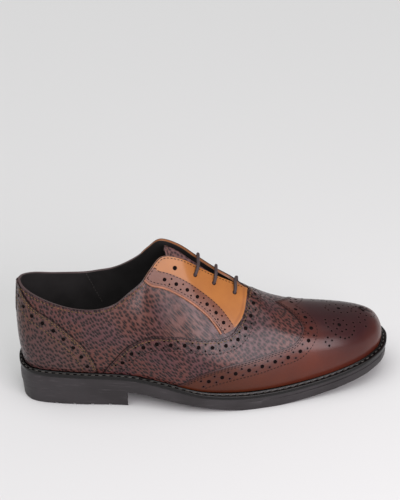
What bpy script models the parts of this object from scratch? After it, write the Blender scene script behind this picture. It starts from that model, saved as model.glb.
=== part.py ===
"""Brogue shoe for the right foot, built as separate pieces around one upper surface.

Metres, +X to the toe, +Y to the inner (medial) side, +Z up, standing on z = 0.
"""
from collections import namedtuple
from math import pi, sin

import bmesh
import bpy
from mathutils import Matrix, Vector

MM = 0.001

# Driving sizes
SHOE_LENGTH = 309.5 * MM
BALL_WIDTH = 104 * MM
INSTEP_HEIGHT = 124 * MM
HEEL_HEIGHT = 29.5 * MM

# Leather, rubber and lace
UPPER_WALL = 2.0 * MM
WELT_THICKNESS = 3.0 * MM
WELT_AT_HEEL = 4.6 * MM
WELT_AT_TOE = 7.0 * MM
WELT_UNDER_UPPER = 3.0 * MM
BEAD_HEIGHT = 1.0 * MM
STITCH_GROOVE = 0.8 * MM
INSOLE_THICKNESS = 4.0 * MM
SOLE_SIDE_STEP = 0.7 * MM
SOLE_BOTTOM_BEVEL = 0.8 * MM
HEEL_TAPER = 2.6 * MM
HEEL_GROOVE_DEPTH = 1.4 * MM
HEEL_GROOVE_WIDTH = 2.4 * MM
HEEL_GROOVE_PITCH = 14.5 * MM
TOE_LINE_DEPTH = 0.6 * MM
CAP_THICKNESS = 1.5 * MM
VAMP_THICKNESS = 1.1 * MM
FACING_THICKNESS = 0.8 * MM
COUNTER_THICKNESS = 0.9 * MM
TONGUE_THICKNESS = 1.8 * MM
TONGUE_ABOVE_FACING = 9.0 * MM
LACE_RADIUS = 1.25 * MM
GAP = 0.3 * MM
PANEL_GAP = 0.55 * MM
PANEL_FOOT_UP = 0.025

# Mesh counts
WALL_LEVELS = 8
LOOP_STEPS = 64

# Outline of the welt seen from above: shares of the length, and of the ball width
# away from the middle line, from the back of the heel to the tip of the toe.
OutlineRow = namedtuple("OutlineRow", "along out")
LATERAL_OUTLINE = [
    OutlineRow(0.000, 0.000),
    OutlineRow(0.005, 0.125),
    OutlineRow(0.018, 0.203),
    OutlineRow(0.037, 0.252),
    OutlineRow(0.068, 0.288),
    OutlineRow(0.108, 0.316),
    OutlineRow(0.164, 0.343),
    OutlineRow(0.216, 0.359),
    OutlineRow(0.268, 0.380),
    OutlineRow(0.314, 0.408),
    OutlineRow(0.364, 0.454),
    OutlineRow(0.413, 0.496),
    OutlineRow(0.468, 0.520),
    OutlineRow(0.543, 0.525),
    OutlineRow(0.599, 0.514),
    OutlineRow(0.675, 0.476),
    OutlineRow(0.751, 0.420),
    OutlineRow(0.823, 0.361),
    OutlineRow(0.865, 0.318),
    OutlineRow(0.903, 0.272),
    OutlineRow(0.935, 0.217),
    OutlineRow(0.972, 0.113),
    OutlineRow(0.989, 0.022),
    OutlineRow(0.997, -0.064),
    OutlineRow(1.000, -0.135),
]
MEDIAL_OUTLINE = [
    OutlineRow(0.000, 0.000),
    OutlineRow(0.005, 0.125),
    OutlineRow(0.018, 0.200),
    OutlineRow(0.037, 0.246),
    OutlineRow(0.068, 0.286),
    OutlineRow(0.108, 0.318),
    OutlineRow(0.164, 0.338),
    OutlineRow(0.216, 0.336),
    OutlineRow(0.277, 0.315),
    OutlineRow(0.358, 0.279),
    OutlineRow(0.439, 0.273),
    OutlineRow(0.520, 0.335),
    OutlineRow(0.610, 0.430),
    OutlineRow(0.680, 0.472),
    OutlineRow(0.750, 0.484),
    OutlineRow(0.820, 0.475),
    OutlineRow(0.880, 0.450),
    OutlineRow(0.930, 0.410),
    OutlineRow(0.965, 0.358),
    OutlineRow(0.989, 0.280),
    OutlineRow(0.997, 0.209),
    OutlineRow(1.000, 0.135),
]

# Height of the welt's top and of the sole's underside along the shoe: shares of the
# length and of the heel height.
HeightRow = namedtuple("HeightRow", "along height")
WELT_LINE = [
    HeightRow(0.000, 1.050),
    HeightRow(0.065, 1.020),
    HeightRow(0.194, 0.983),
    HeightRow(0.291, 0.944),
    HeightRow(0.387, 0.800),
    HeightRow(0.484, 0.560),
    HeightRow(0.581, 0.478),
    HeightRow(0.662, 0.478),
    HeightRow(0.759, 0.542),
    HeightRow(0.856, 0.678),
    HeightRow(0.939, 0.847),
    HeightRow(1.000, 0.966),
]
UNDERSIDE_LINE = [
    HeightRow(0.000, 0.480),
    HeightRow(0.284, 0.450),
    HeightRow(0.350, 0.370),
    HeightRow(0.420, 0.255),
    HeightRow(0.484, 0.130),
    HeightRow(0.549, 0.030),
    HeightRow(0.590, 0.000),
    HeightRow(0.675, 0.000),
    HeightRow(0.759, 0.068),
    HeightRow(0.856, 0.220),
    HeightRow(0.939, 0.407),
    HeightRow(1.000, 0.542),
]
HEEL_BREAST = 0.281

# Ribs of the upper, from the back seam (0) to the tip of the toe (22). Each rib is one
# curve from the welt to the topline or, ahead of the throat, to the ridge.
# around: share of the outline's side; top_x: share of the length; lateral_y, medial_y:
# top end away from the middle, shares of the ball width; lateral_z, medial_z: shares of
# the instep height; low and high pulls of the curve, in the same shares.
Rib = namedtuple(
    "Rib", "around top_x lateral_y medial_y lateral_z medial_z low_out low_up high_out high_drop"
)
RIBS = [
    Rib(0.000, 0.008, 0.000, 0.000, 0.815, 0.815, 0.052, 0.170, 0.024, 0.185),
    Rib(0.040, 0.018, 0.095, 0.095, 0.802, 0.808, 0.054, 0.170, 0.026, 0.183),
    Rib(0.087, 0.049, 0.175, 0.175, 0.770, 0.786, 0.054, 0.165, 0.032, 0.177),
    Rib(0.142, 0.096, 0.235, 0.235, 0.732, 0.752, 0.053, 0.160, 0.038, 0.165),
    Rib(0.192, 0.142, 0.275, 0.275, 0.708, 0.731, 0.045, 0.153, 0.040, 0.153),
    Rib(0.236, 0.185, 0.293, 0.290, 0.698, 0.724, 0.040, 0.145, 0.040, 0.145),
    Rib(0.276, 0.221, 0.298, 0.295, 0.705, 0.732, 0.040, 0.145, 0.040, 0.145),
    Rib(0.317, 0.258, 0.279, 0.279, 0.728, 0.753, 0.040, 0.145, 0.042, 0.153),
    Rib(0.355, 0.291, 0.250, 0.250, 0.784, 0.798, 0.043, 0.145, 0.050, 0.170),
    Rib(0.390, 0.325, 0.212, 0.221, 0.842, 0.860, 0.048, 0.153, 0.067, 0.194),
    Rib(0.422, 0.349, 0.173, 0.183, 0.915, 0.931, 0.048, 0.160, 0.086, 0.218),
    Rib(0.458, 0.382, 0.125, 0.135, 0.990, 1.008, 0.048, 0.170, 0.106, 0.242),
    Rib(0.500, 0.430, 0.106, 0.115, 0.964, 0.972, 0.048, 0.177, 0.135, 0.226),
    Rib(0.545, 0.477, 0.080, 0.091, 0.885, 0.890, 0.053, 0.185, 0.154, 0.194),
    Rib(0.590, 0.524, 0.055, 0.066, 0.806, 0.809, 0.058, 0.185, 0.173, 0.160),
    Rib(0.638, 0.570, 0.034, 0.043, 0.738, 0.740, 0.063, 0.185, 0.200, 0.105),
    Rib(0.680, 0.611, 0.018, -0.018, 0.675, 0.675, 0.067, 0.177, 0.240, 0.028),
    Rib(0.730, 0.666, 0.024, -0.024, 0.588, 0.588, 0.067, 0.170, 0.280, 0.010),
    Rib(0.782, 0.727, 0.010, -0.010, 0.524, 0.524, 0.063, 0.153, 0.305, 0.010),
    Rib(0.829, 0.787, -0.014, 0.014, 0.493, 0.493, 0.058, 0.145, 0.300, 0.014),
    Rib(0.879, 0.840, -0.042, 0.042, 0.470, 0.470, 0.048, 0.137, 0.265, 0.020),
    Rib(0.934, 0.888, -0.076, 0.076, 0.448, 0.448, 0.034, 0.110, 0.220, 0.030),
    Rib(1.000, 0.906, -0.105, 0.105, 0.437, 0.437, 0.019, 0.090, 0.175, 0.036),
]
THROAT_RIB = 16

# Mesh steps between ribs: coarse on the quarters, finer at the throat and the toe.
RibZone = namedtuple("RibZone", "until steps")
RIB_ZONES = [RibZone(12, 2), RibZone(18, 4), RibZone(22, 3)]

# Panel edges on the upper: along in ribs, up as the share of the rib from the welt.
EdgeRow = namedtuple("EdgeRow", "rib up")
SWAN_NECK_EDGE = [
    EdgeRow(5.20, 0.000),
    EdgeRow(5.75, 0.180),
    EdgeRow(7.00, 0.430),
    EdgeRow(8.80, 0.520),
    EdgeRow(10.6, 0.477),
    EdgeRow(12.2, 0.465),
    EdgeRow(13.6, 0.515),
    EdgeRow(14.6, 0.640),
    EdgeRow(15.35, 0.810),
    EdgeRow(16.0, 1.000),
]
WING_EDGE = [
    EdgeRow(9.60, 0.000),
    EdgeRow(11.2, 0.180),
    EdgeRow(13.0, 0.288),
    EdgeRow(15.0, 0.360),
    EdgeRow(16.5, 0.420),
    EdgeRow(17.4, 0.570),
    EdgeRow(17.68, 0.720),
    EdgeRow(17.45, 0.870),
    EdgeRow(16.95, 1.000),
]
FACING_LOW_EDGE = [
    EdgeRow(9.30, 0.990),
    EdgeRow(10.0, 0.865),
    EdgeRow(10.9, 0.765),
    EdgeRow(12.0, 0.687),
    EdgeRow(12.8, 0.607),
    EdgeRow(13.15, 0.515),
]
FACING_FRONT_EDGE = [
    EdgeRow(13.15, 0.515),
    EdgeRow(13.9, 0.565),
    EdgeRow(14.65, 0.680),
    EdgeRow(15.2, 0.810),
    EdgeRow(15.5, 0.920),
    EdgeRow(15.7, 0.995),
]
COUNTER_EDGE = [
    EdgeRow(4.85, 0.000),
    EdgeRow(4.80, 0.160),
    EdgeRow(4.35, 0.460),
    EdgeRow(3.20, 0.737),
    EdgeRow(1.90, 0.850),
    EdgeRow(0.80, 0.985),
]

LATERAL = -1
MEDIAL = 1


def clear_scene():
    for item in list(bpy.data.objects):
        bpy.data.objects.remove(item, do_unlink=True)


def curve_rows(rows, share):
    """Value of every column at a share (0 to 1) of the way through the rows."""
    place = min(max(share, 0.0), 1.0) * (len(rows) - 1)
    index = min(int(place), len(rows) - 2)
    t = place - index
    before = rows[max(index - 1, 0)]
    start = rows[index]
    end = rows[index + 1]
    after = rows[min(index + 2, len(rows) - 1)]
    values = []
    for a, b, c, d in zip(before, start, end, after):
        pull_b = (c - a) / 2
        pull_c = (d - b) / 2
        values.append(
            b * (2 * t**3 - 3 * t**2 + 1)
            + pull_b * (t**3 - 2 * t**2 + t)
            + c * (3 * t**2 - 2 * t**3)
            + pull_c * (t**3 - t**2)
        )
    return type(start)(*values)


def height_at(rows, along):
    """Height of a line at a share of the length, eased between its rows."""
    along = min(max(along, rows[0].along), rows[-1].along)
    for index in range(len(rows) - 1):
        if along <= rows[index + 1].along:
            break
    start = rows[index]
    end = rows[index + 1]
    before = rows[max(index - 1, 0)]
    after = rows[min(index + 2, len(rows) - 1)]
    span = end.along - start.along
    t = (along - start.along) / span
    slope_start = span * (end.height - before.height) / (end.along - before.along)
    slope_end = span * (after.height - start.height) / (after.along - start.along)
    return (
        start.height * (2 * t**3 - 3 * t**2 + 1)
        + slope_start * (t**3 - 2 * t**2 + t)
        + end.height * (3 * t**2 - 2 * t**3)
        + slope_end * (t**3 - t**2)
    )


def welt_height(x):
    return HEEL_HEIGHT * height_at(WELT_LINE, x / SHOE_LENGTH)


def underside_height(x):
    return HEEL_HEIGHT * height_at(UNDERSIDE_LINE, x / SHOE_LENGTH)


def make_outline():
    """Points around the welt's edge from above, closed, and the index of the toe."""
    corners = []
    for row in LATERAL_OUTLINE:
        corners.append(Vector((row.along * SHOE_LENGTH, -row.out * BALL_WIDTH)))
    for row in reversed(MEDIAL_OUTLINE[1:-1]):
        corners.append(Vector((row.along * SHOE_LENGTH, row.out * BALL_WIDTH)))
    count = len(corners)
    points = []
    fine = 12
    for index in range(count):
        a = corners[index - 1]
        b = corners[index]
        c = corners[(index + 1) % count]
        d = corners[(index + 2) % count]
        span = (c - b).length
        pull_b = (c - a) * span / ((b - a).length + span)
        pull_c = (d - b) * span / ((d - c).length + span)
        for step in range(fine):
            t = step / fine
            points.append(
                b * (2 * t**3 - 3 * t**2 + 1)
                + pull_b * (t**3 - 2 * t**2 + t)
                + c * (3 * t**2 - 2 * t**3)
                + pull_c * (t**3 - t**2)
            )
    return points, (len(LATERAL_OUTLINE) - 1) * fine


OUTLINE, TOE_INDEX = make_outline()


def side_path(side):
    """The outline's points on one side, from the heel to the toe."""
    if side == LATERAL:
        return OUTLINE[: TOE_INDEX + 1]
    return [OUTLINE[0]] + OUTLINE[: TOE_INDEX - 1 : -1]


PATHS = {LATERAL: side_path(LATERAL), MEDIAL: side_path(MEDIAL)}


def path_lengths(path):
    lengths = [0.0]
    for start, end in zip(path, path[1:]):
        lengths.append(lengths[-1] + (end - start).length)
    return lengths


PATH_LENGTHS = {side: path_lengths(path) for side, path in PATHS.items()}


def outline_point(side, around):
    """Point on the welt's edge and the outward direction there, both level."""
    path = PATHS[side]
    lengths = PATH_LENGTHS[side]
    goal = min(max(around, 0.0), 1.0) * lengths[-1]
    index = 0
    while index < len(path) - 2 and lengths[index + 1] < goal:
        index += 1
    t = (goal - lengths[index]) / (lengths[index + 1] - lengths[index])
    point = path[index].lerp(path[index + 1], t)
    other = PATHS[-side]
    before = path[index - 1] if index > 0 else other[1]
    after = path[index + 2] if index < len(path) - 2 else other[-2]
    first = (path[index + 1] - before).normalized()
    second = (after - path[index]).normalized()
    along = first.lerp(second, t).normalized()
    if around < 1e-6 or around > 1.0 - 1e-6:
        direction = 1.0 if around > 0.5 else -1.0
        outward = Vector((direction, 0.0))
    else:
        outward = Vector((-side * along.y, side * along.x))
    return Vector((point.x, point.y, 0.0)), Vector((outward.x, outward.y, 0.0))


def ease(low, high, value):
    t = min(max((value - low) / (high - low), 0.0), 1.0)
    return t * t * (3 - 2 * t)


def welt_show(x):
    """How far the welt stands out beyond the upper."""
    share = ease(0.30, 0.62, x / SHOE_LENGTH)
    return WELT_AT_HEEL + (WELT_AT_TOE - WELT_AT_HEEL) * share


def upper_point(side, rib, up):
    """Point on the upper's outer face: rib from 0 to 22, up from the welt (0) to the top (1)."""
    row = curve_rows(RIBS, rib / (len(RIBS) - 1))
    edge, outward = outline_point(side, row.around)
    foot = edge - outward * welt_show(edge.x)
    foot.z = welt_height(foot.x) + GAP
    if rib > THROAT_RIB - 1e-6:
        top_y = (row.medial_y - row.lateral_y) / 2
        top_z = (row.medial_z + row.lateral_z) / 2
    elif side == LATERAL:
        top_y = -row.lateral_y
        top_z = row.lateral_z
    else:
        top_y = row.medial_y
        top_z = row.medial_z
    top = Vector((row.top_x * SHOE_LENGTH, top_y * BALL_WIDTH, top_z * INSTEP_HEIGHT))
    low = foot + outward * row.low_out * BALL_WIDTH
    low.z += row.low_up * INSTEP_HEIGHT
    high = top + outward * row.high_out * BALL_WIDTH
    high.z -= row.high_drop * INSTEP_HEIGHT
    t = up
    return (
        foot * (1 - t) ** 3
        + low * 3 * t * (1 - t) ** 2
        + high * 3 * t * t * (1 - t)
        + top * t**3
    )


def upper_normal(side, rib, up):
    """Outward direction of the upper at a point."""
    last = len(RIBS) - 1
    rib = min(max(rib, 0.02), last - 0.02)
    up = min(max(up, 0.01), 0.985)
    along = upper_point(side, rib + 0.02, up) - upper_point(side, rib - 0.02, up)
    rise = upper_point(side, rib, up + 0.01) - upper_point(side, rib, up - 0.01)
    return (along.cross(rise) * -side).normalized()


def raised_point(side, rib, up, height):
    """Point above the upper; the two sides share their points where they meet."""
    normal = upper_normal(side, rib, up)
    near = 1e-6
    on_end = rib < near or rib > len(RIBS) - 1 - near
    on_ridge = up > 1.0 - near and rib > THROAT_RIB - near
    if on_end or on_ridge:
        normal = (normal + upper_normal(-side, rib, up)).normalized()
    return upper_point(side, rib, up) + normal * height


def material(name, colour, roughness, metallic=0.0):
    made = bpy.data.materials.new(name)
    made.use_nodes = True
    shader = made.node_tree.nodes["Principled BSDF"]
    shader.inputs["Base Color"].default_value = (*colour, 1.0)
    shader.inputs["Roughness"].default_value = roughness
    shader.inputs["Metallic"].default_value = metallic
    return made


def add_object(name, mesh_builder, surface, smooth=True):
    """Make a mesh object from a filled bmesh and shade it."""
    mesh = bpy.data.meshes.new(name)
    for face in mesh_builder.faces:
        face.smooth = smooth
    mesh_builder.to_mesh(mesh)
    mesh_builder.free()
    made = bpy.data.objects.new(name, mesh)
    mesh.materials.append(surface)
    bpy.context.scene.collection.objects.link(made)
    return made


def add_grid(builder, rows, flip):
    """Faces between rows of points; flip turns them over."""
    grid = []
    for row in rows:
        grid.append([builder.verts.new(point) for point in row])
    for low, high in zip(grid, grid[1:]):
        for index in range(len(low) - 1):
            corners = [low[index], low[index + 1], high[index + 1], high[index]]
            if flip:
                corners.reverse()
            builder.faces.new(corners)
    return grid


def clean(builder):
    bmesh.ops.remove_doubles(builder, verts=builder.verts, dist=0.02 * MM)
    bmesh.ops.dissolve_degenerate(builder, edges=builder.edges, dist=0.01 * MM)


def thicken(made, thickness, outward):
    wall = made.modifiers.new("Wall", "SOLIDIFY")
    wall.thickness = thickness
    wall.offset = 1.0 if outward else -1.0
    wall.use_even_offset = True
    wall.use_rim = True


def rib_stops():
    """Ribs, and places between ribs, that the upper's mesh passes through."""
    stops = [0.0]
    for zone in RIB_ZONES:
        while stops[-1] < zone.until - 1e-6:
            stops.append(round(stops[-1] * zone.steps + 1) / zone.steps)
    return stops


def make_upper():
    builder = bmesh.new()
    stops = rib_stops()
    for side in (LATERAL, MEDIAL):
        rows = []
        for level in range(WALL_LEVELS + 1):
            up = level / WALL_LEVELS
            rows.append([upper_point(side, rib, up) for rib in stops])
        add_grid(builder, rows, flip=side == MEDIAL)
    clean(builder)
    made = add_object("upper", builder, material("quarter_leather", (0.17, 0.085, 0.08), 0.45))
    thicken(made, UPPER_WALL, outward=False)
    return made


def edge_at(edge, share):
    row = curve_rows(edge, share)
    return row.rib, row.up


def panel_places(start_edge, end_edge, steps, levels, end_shift=0.0, crowd=1.0):
    """Rows of (rib, up) between two panel edges; crowd above 1 packs them at the end."""
    rows = []
    for level in range(levels + 1):
        share = level / levels
        start_rib, start_up = edge_at(start_edge, share)
        end_rib, end_up = edge_at(end_edge, share)
        end_rib += end_shift
        row = []
        for step in range(steps + 1):
            t = 1 - (1 - step / steps) ** crowd
            rib = start_rib * (1 - t) + end_rib * t
            up = start_up * (1 - t) + end_up * t
            row.append((rib, min(max(up, PANEL_FOOT_UP), 1.0)))
        rows.append(row)
    return rows


def add_shell(builder, side, places, thickness, free_sides):
    """Inner and outer skin of a panel on the upper, closed along its free sides."""
    skins = []
    for height in (PANEL_GAP, PANEL_GAP + thickness):
        rows = []
        for row in places:
            rows.append([raised_point(side, rib, up, height) for rib, up in row])
        outer = height > PANEL_GAP
        skins.append(add_grid(builder, rows, flip=(side == MEDIAL) == outer))
    inner, outer = skins
    borders = {
        "foot": (inner[0], outer[0]),
        "top": (inner[-1][::-1], outer[-1][::-1]),
        "start": ([row[0] for row in inner][::-1], [row[0] for row in outer][::-1]),
        "end": ([row[-1] for row in inner], [row[-1] for row in outer]),
    }
    for name in free_sides:
        low, high = borders[name]
        for index in range(len(low) - 1):
            corners = [low[index], low[index + 1], high[index + 1], high[index]]
            if side == MEDIAL:
                corners.reverse()
            builder.faces.new(corners)


TOE_RIB_EDGE = [EdgeRow(22.0, 0.0), EdgeRow(22.0, 1.0)]
BACK_RIB_EDGE = [EdgeRow(0.0, 0.0), EdgeRow(0.0, 0.985)]


def make_panel(name, places, thickness, free_sides, surface, sides=(LATERAL, MEDIAL)):
    """Panel of the upper on one side, or on both and joined over the middle."""
    builder = bmesh.new()
    for side in sides:
        add_shell(builder, side, places, thickness, free_sides)
    clean(builder)
    bmesh.ops.recalc_face_normals(builder, faces=builder.faces)
    bmesh.ops.triangulate(builder, faces=builder.faces, quad_method="SHORT_EDGE")
    return add_object(name, builder, surface)


def make_wing_cap():
    surface = material("cap_leather", (0.20, 0.07, 0.06), 0.28)
    places = panel_places(WING_EDGE, TOE_RIB_EDGE, 22, 14, crowd=1.3)
    return make_panel("wing_cap", places, CAP_THICKNESS, ("foot", "start"), surface)


def make_vamp():
    surface = material("vamp_leather", (0.19, 0.09, 0.09), 0.42)
    places = panel_places(SWAN_NECK_EDGE, WING_EDGE, 13, 14, end_shift=-0.12)
    return make_panel("vamp_panel", places, VAMP_THICKNESS, ("foot", "start", "end"), surface)


def make_counter_patch():
    surface = material("counter_leather", (0.15, 0.075, 0.07), 0.45)
    places = panel_places(BACK_RIB_EDGE, COUNTER_EDGE, 14, 9)
    return make_panel("counter_patch", places, COUNTER_THICKNESS, ("foot", "top", "end"), surface)


def facing_place(across, up_share):
    """(rib, up) inside a facing: across from its tail to the throat's end."""
    low_rib, low_up = edge_at(FACING_LOW_EDGE, across)
    tail = FACING_LOW_EDGE[0]
    start = FACING_FRONT_EDGE[0]
    end = FACING_FRONT_EDGE[-1]
    top_rib = tail.rib + across * (end.rib - tail.rib)
    front_rib, front_up = edge_at(FACING_FRONT_EDGE, up_share)
    bulge = front_rib - (start.rib + (end.rib - start.rib) * up_share)
    lift = front_up - (start.up + (end.up - start.up) * up_share)
    rib = low_rib + (top_rib - low_rib) * up_share + bulge * across
    up = low_up + (end.up - low_up) * up_share + lift * across
    return rib, min(up, end.up)


def make_facing(side, name):
    places = []
    for level in range(9):
        places.append([facing_place(step / 14, level / 8) for step in range(15)])
    surface = material(name + "_leather", (0.42, 0.17, 0.07), 0.30)
    free_sides = ("foot", "top", "start", "end")
    return make_panel(name, places, FACING_THICKNESS, free_sides, surface, (side,))


def loop_stations():
    """Stations around the sole as (side, share of the side), heel to toe on each side."""
    half = LOOP_STEPS // 2
    shares = []
    for step in range(half + 1):
        t = step / half
        shares.append(t - 0.35 * sin(2 * pi * t) / (2 * pi))
    return shares


def inset_point(side, around, inset, height):
    edge, outward = outline_point(side, around)
    point = edge - outward * inset
    point.z = height
    return point


def make_ring(sections):
    """Closed ring from a closed section at each station; sections(side, around) gives it."""
    builder = bmesh.new()
    shares = loop_stations()
    stations = [(LATERAL, share) for share in shares]
    stations += [(MEDIAL, share) for share in reversed(shares[1:-1])]
    loops = []
    for side, around in stations:
        loops.append([builder.verts.new(point) for point in sections(side, around)])
    for index, loop in enumerate(loops):
        following = loops[(index + 1) % len(loops)]
        for corner in range(len(loop)):
            ahead = (corner + 1) % len(loop)
            builder.faces.new([loop[corner], loop[ahead], following[ahead], following[corner]])
    bmesh.ops.recalc_face_normals(builder, faces=builder.faces)
    return builder


def welt_section(side, around):
    edge, _ = outline_point(side, around)
    show = welt_show(edge.x)
    open_top = show - PANEL_GAP - CAP_THICKNESS - GAP
    profile = [
        (0.0, -WELT_THICKNESS),
        (0.0, -0.4 * MM),
        (0.4 * MM, 0.0),
        (open_top * 0.36, 0.0),
        (open_top * 0.42, -STITCH_GROOVE),
        (open_top * 0.60, -STITCH_GROOVE),
        (open_top * 0.66, 0.0),
        (open_top * 0.76, BEAD_HEIGHT),
        (open_top * 0.94, BEAD_HEIGHT),
        (open_top, 0.0),
        (show + WELT_UNDER_UPPER, 0.0),
        (show + WELT_UNDER_UPPER, -WELT_THICKNESS),
    ]
    points = []
    for inset, rise in profile:
        point = inset_point(side, around, inset, 0.0)
        point.z = welt_height(point.x) + rise
        points.append(point)
    return points


def make_welt():
    builder = make_ring(welt_section)
    return add_object("welt", builder, material("welt_leather", (0.02, 0.016, 0.016), 0.30))


def plate_rows(inset, levels, height_of):
    """Rows across a plate that fills the outline, heel to toe."""
    rows = []
    for around in loop_stations():
        start = inset_point(LATERAL, around, inset, 0.0)
        end = inset_point(MEDIAL, around, inset, 0.0)
        row = []
        for level in range(levels + 1):
            point = start.lerp(end, level / levels)
            point.z = height_of(point.x)
            row.append(point)
        rows.append(row)
    return rows


def close_solid(builder):
    clean(builder)
    bmesh.ops.recalc_face_normals(builder, faces=builder.faces)


def make_insole():
    """Plate inside the welt and the upper's foot."""
    builder = bmesh.new()
    shares = loop_stations()
    top = []
    bottom = []
    for around in shares:
        pair_top = []
        pair_bottom = []
        for side in (LATERAL, MEDIAL):
            edge, _ = outline_point(side, around)
            inset = welt_show(edge.x) + WELT_UNDER_UPPER + GAP
            point = inset_point(side, around, inset, 0.0)
            base = welt_height(point.x) - WELT_THICKNESS
            pair_bottom.append(Vector((point.x, point.y, base)))
            pair_top.append(Vector((point.x, point.y, base + INSOLE_THICKNESS)))
        top.append(pair_top)
        bottom.append(pair_bottom)
    top_grid = add_grid(builder, top, flip=False)
    bottom_grid = add_grid(builder, bottom, flip=True)
    for column in (0, -1):
        for index in range(len(shares) - 1):
            builder.faces.new([
                top_grid[index][column],
                top_grid[index + 1][column],
                bottom_grid[index + 1][column],
                bottom_grid[index][column],
            ])
    close_solid(builder)
    return add_object("insole", builder, material("insole_leather", (0.03, 0.025, 0.024), 0.55))


def breast_share(side):
    """Share of a side's outline at the heel's front face."""
    goal = HEEL_BREAST * SHOE_LENGTH
    low = 0.0
    high = 1.0
    for _ in range(40):
        middle = (low + high) / 2
        edge, _ = outline_point(side, middle)
        if edge.x < goal:
            low = middle
        else:
            high = middle
    return low


def sole_levels(x):
    """Side of the slab from the top down: inset from the outline, and height."""
    top = welt_height(x) - WELT_THICKNESS - GAP
    bottom = underside_height(x)
    line = TOE_LINE_DEPTH * ease(0.55, 0.80, x / SHOE_LENGTH)
    drop = (top - bottom) * 0.30
    return [
        (SOLE_SIDE_STEP, top),
        (SOLE_SIDE_STEP, top - drop * 0.85),
        (SOLE_SIDE_STEP + line, top - drop * 0.95),
        (SOLE_SIDE_STEP + line, top - drop * 1.05),
        (SOLE_SIDE_STEP, top - drop * 1.15),
        (SOLE_SIDE_STEP, bottom + SOLE_BOTTOM_BEVEL),
        (SOLE_SIDE_STEP + SOLE_BOTTOM_BEVEL, bottom),
    ]


def make_outsole():
    """One moulded unit: slab with arch and toe spring, and the heel under its back."""
    builder = bmesh.new()
    shares = loop_stations()
    top_rows = []
    bottom_rows = []
    walls = {LATERAL: [], MEDIAL: []}
    for around in shares:
        for side in (LATERAL, MEDIAL):
            edge, _ = outline_point(side, around)
            wall = [inset_point(side, around, inset, z) for inset, z in sole_levels(edge.x)]
            walls[side].append([builder.verts.new(point) for point in wall])
    for side in (LATERAL, MEDIAL):
        for start, end in zip(walls[side], walls[side][1:]):
            for level in range(len(start) - 1):
                builder.faces.new([start[level], end[level], end[level + 1], start[level + 1]])
    for level in (0, -1):
        for index in range(len(shares) - 1):
            builder.faces.new([
                walls[LATERAL][index][level],
                walls[LATERAL][index + 1][level],
                walls[MEDIAL][index + 1][level],
                walls[MEDIAL][index][level],
            ])
    close_solid(builder)
    made = add_object("outsole", builder, material("sole_rubber", (0.055, 0.048, 0.052), 0.5))
    heel = make_heel_block()
    joined = made.modifiers.new("Heel", "BOOLEAN")
    joined.operation = "UNION"
    joined.solver = "EXACT"
    joined.object = heel
    for index in range(4):
        cutter = make_heel_groove(index)
        cut = made.modifiers.new("Groove", "BOOLEAN")
        cut.operation = "DIFFERENCE"
        cut.solver = "EXACT"
        cut.object = cutter
    return made


def make_heel_block():
    """Heel from the floor up into the slab, set in a little from the slab's side."""
    builder = bmesh.new()
    levels = [
        (SOLE_SIDE_STEP + HEEL_TAPER, 0.0),
        (SOLE_SIDE_STEP + HEEL_TAPER - 0.8 * MM, SOLE_BOTTOM_BEVEL),
        (SOLE_SIDE_STEP + 0.3 * MM, HEEL_HEIGHT * 0.56),
    ]
    steps = 16
    grids = []
    for inset, height in levels:
        grid = []
        for side in (LATERAL, MEDIAL):
            last = breast_share(side)
            row = []
            for step in range(steps + 1):
                row.append(builder.verts.new(inset_point(side, last * step / steps, inset, height)))
            grid.append(row)
        grids.append(grid)
    for low, high in zip(grids, grids[1:]):
        for column in (0, 1):
            for step in range(steps):
                builder.faces.new([
                    low[column][step],
                    low[column][step + 1],
                    high[column][step + 1],
                    high[column][step],
                ])
        builder.faces.new([low[0][-1], low[1][-1], high[1][-1], high[0][-1]])
    for grid in (grids[0], grids[-1]):
        for step in range(steps):
            builder.faces.new([grid[0][step], grid[0][step + 1], grid[1][step + 1], grid[1][step]])
    close_solid(builder)
    made = add_object("heel_block", builder, material("heel_rubber", (0.055, 0.048, 0.052), 0.5))
    hide_cutter(made)
    return made


def make_heel_groove(index):
    """Cutter for one groove across the heel's underside."""
    builder = bmesh.new()
    bmesh.ops.create_cube(builder, size=1.0)
    first = HEEL_BREAST * SHOE_LENGTH - 0.95 * HEEL_GROOVE_PITCH
    size = Matrix.Diagonal((HEEL_GROOVE_WIDTH, BALL_WIDTH, 2 * HEEL_GROOVE_DEPTH, 1.0))
    place = Matrix.Translation((first - index * HEEL_GROOVE_PITCH, 0.0, 0.0))
    bmesh.ops.transform(builder, matrix=place @ size, verts=builder.verts)
    name = "groove_cutter_%d" % (index + 1)
    made = add_object(name, builder, material(name + "_plain", (0.5, 0.5, 0.5), 0.5), smooth=False)
    hide_cutter(made)
    return made


def hide_cutter(made):
    made.hide_render = True
    made.display_type = "WIRE"


def inner_point(side, rib, up, depth):
    return upper_point(side, rib, up) - upper_normal(side, rib, up) * depth


def tongue_section(rib, depth, width_share):
    """Points across the tongue at one rib, lateral to medial, under both facings."""
    under = []
    for side in (LATERAL, MEDIAL):
        side_points = []
        for up in (0.74, 0.80, 0.86, 0.92, 0.97):
            side_points.append(inner_point(side, rib, 1 - (1 - up) * width_share, depth))
        under.append(side_points)
    left = under[0][-1]
    right = under[1][-1]
    middle = (left + right) / 2
    middle.z += (right - left).length * 0.10
    return under[0] + [middle] + under[1][::-1]


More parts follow.
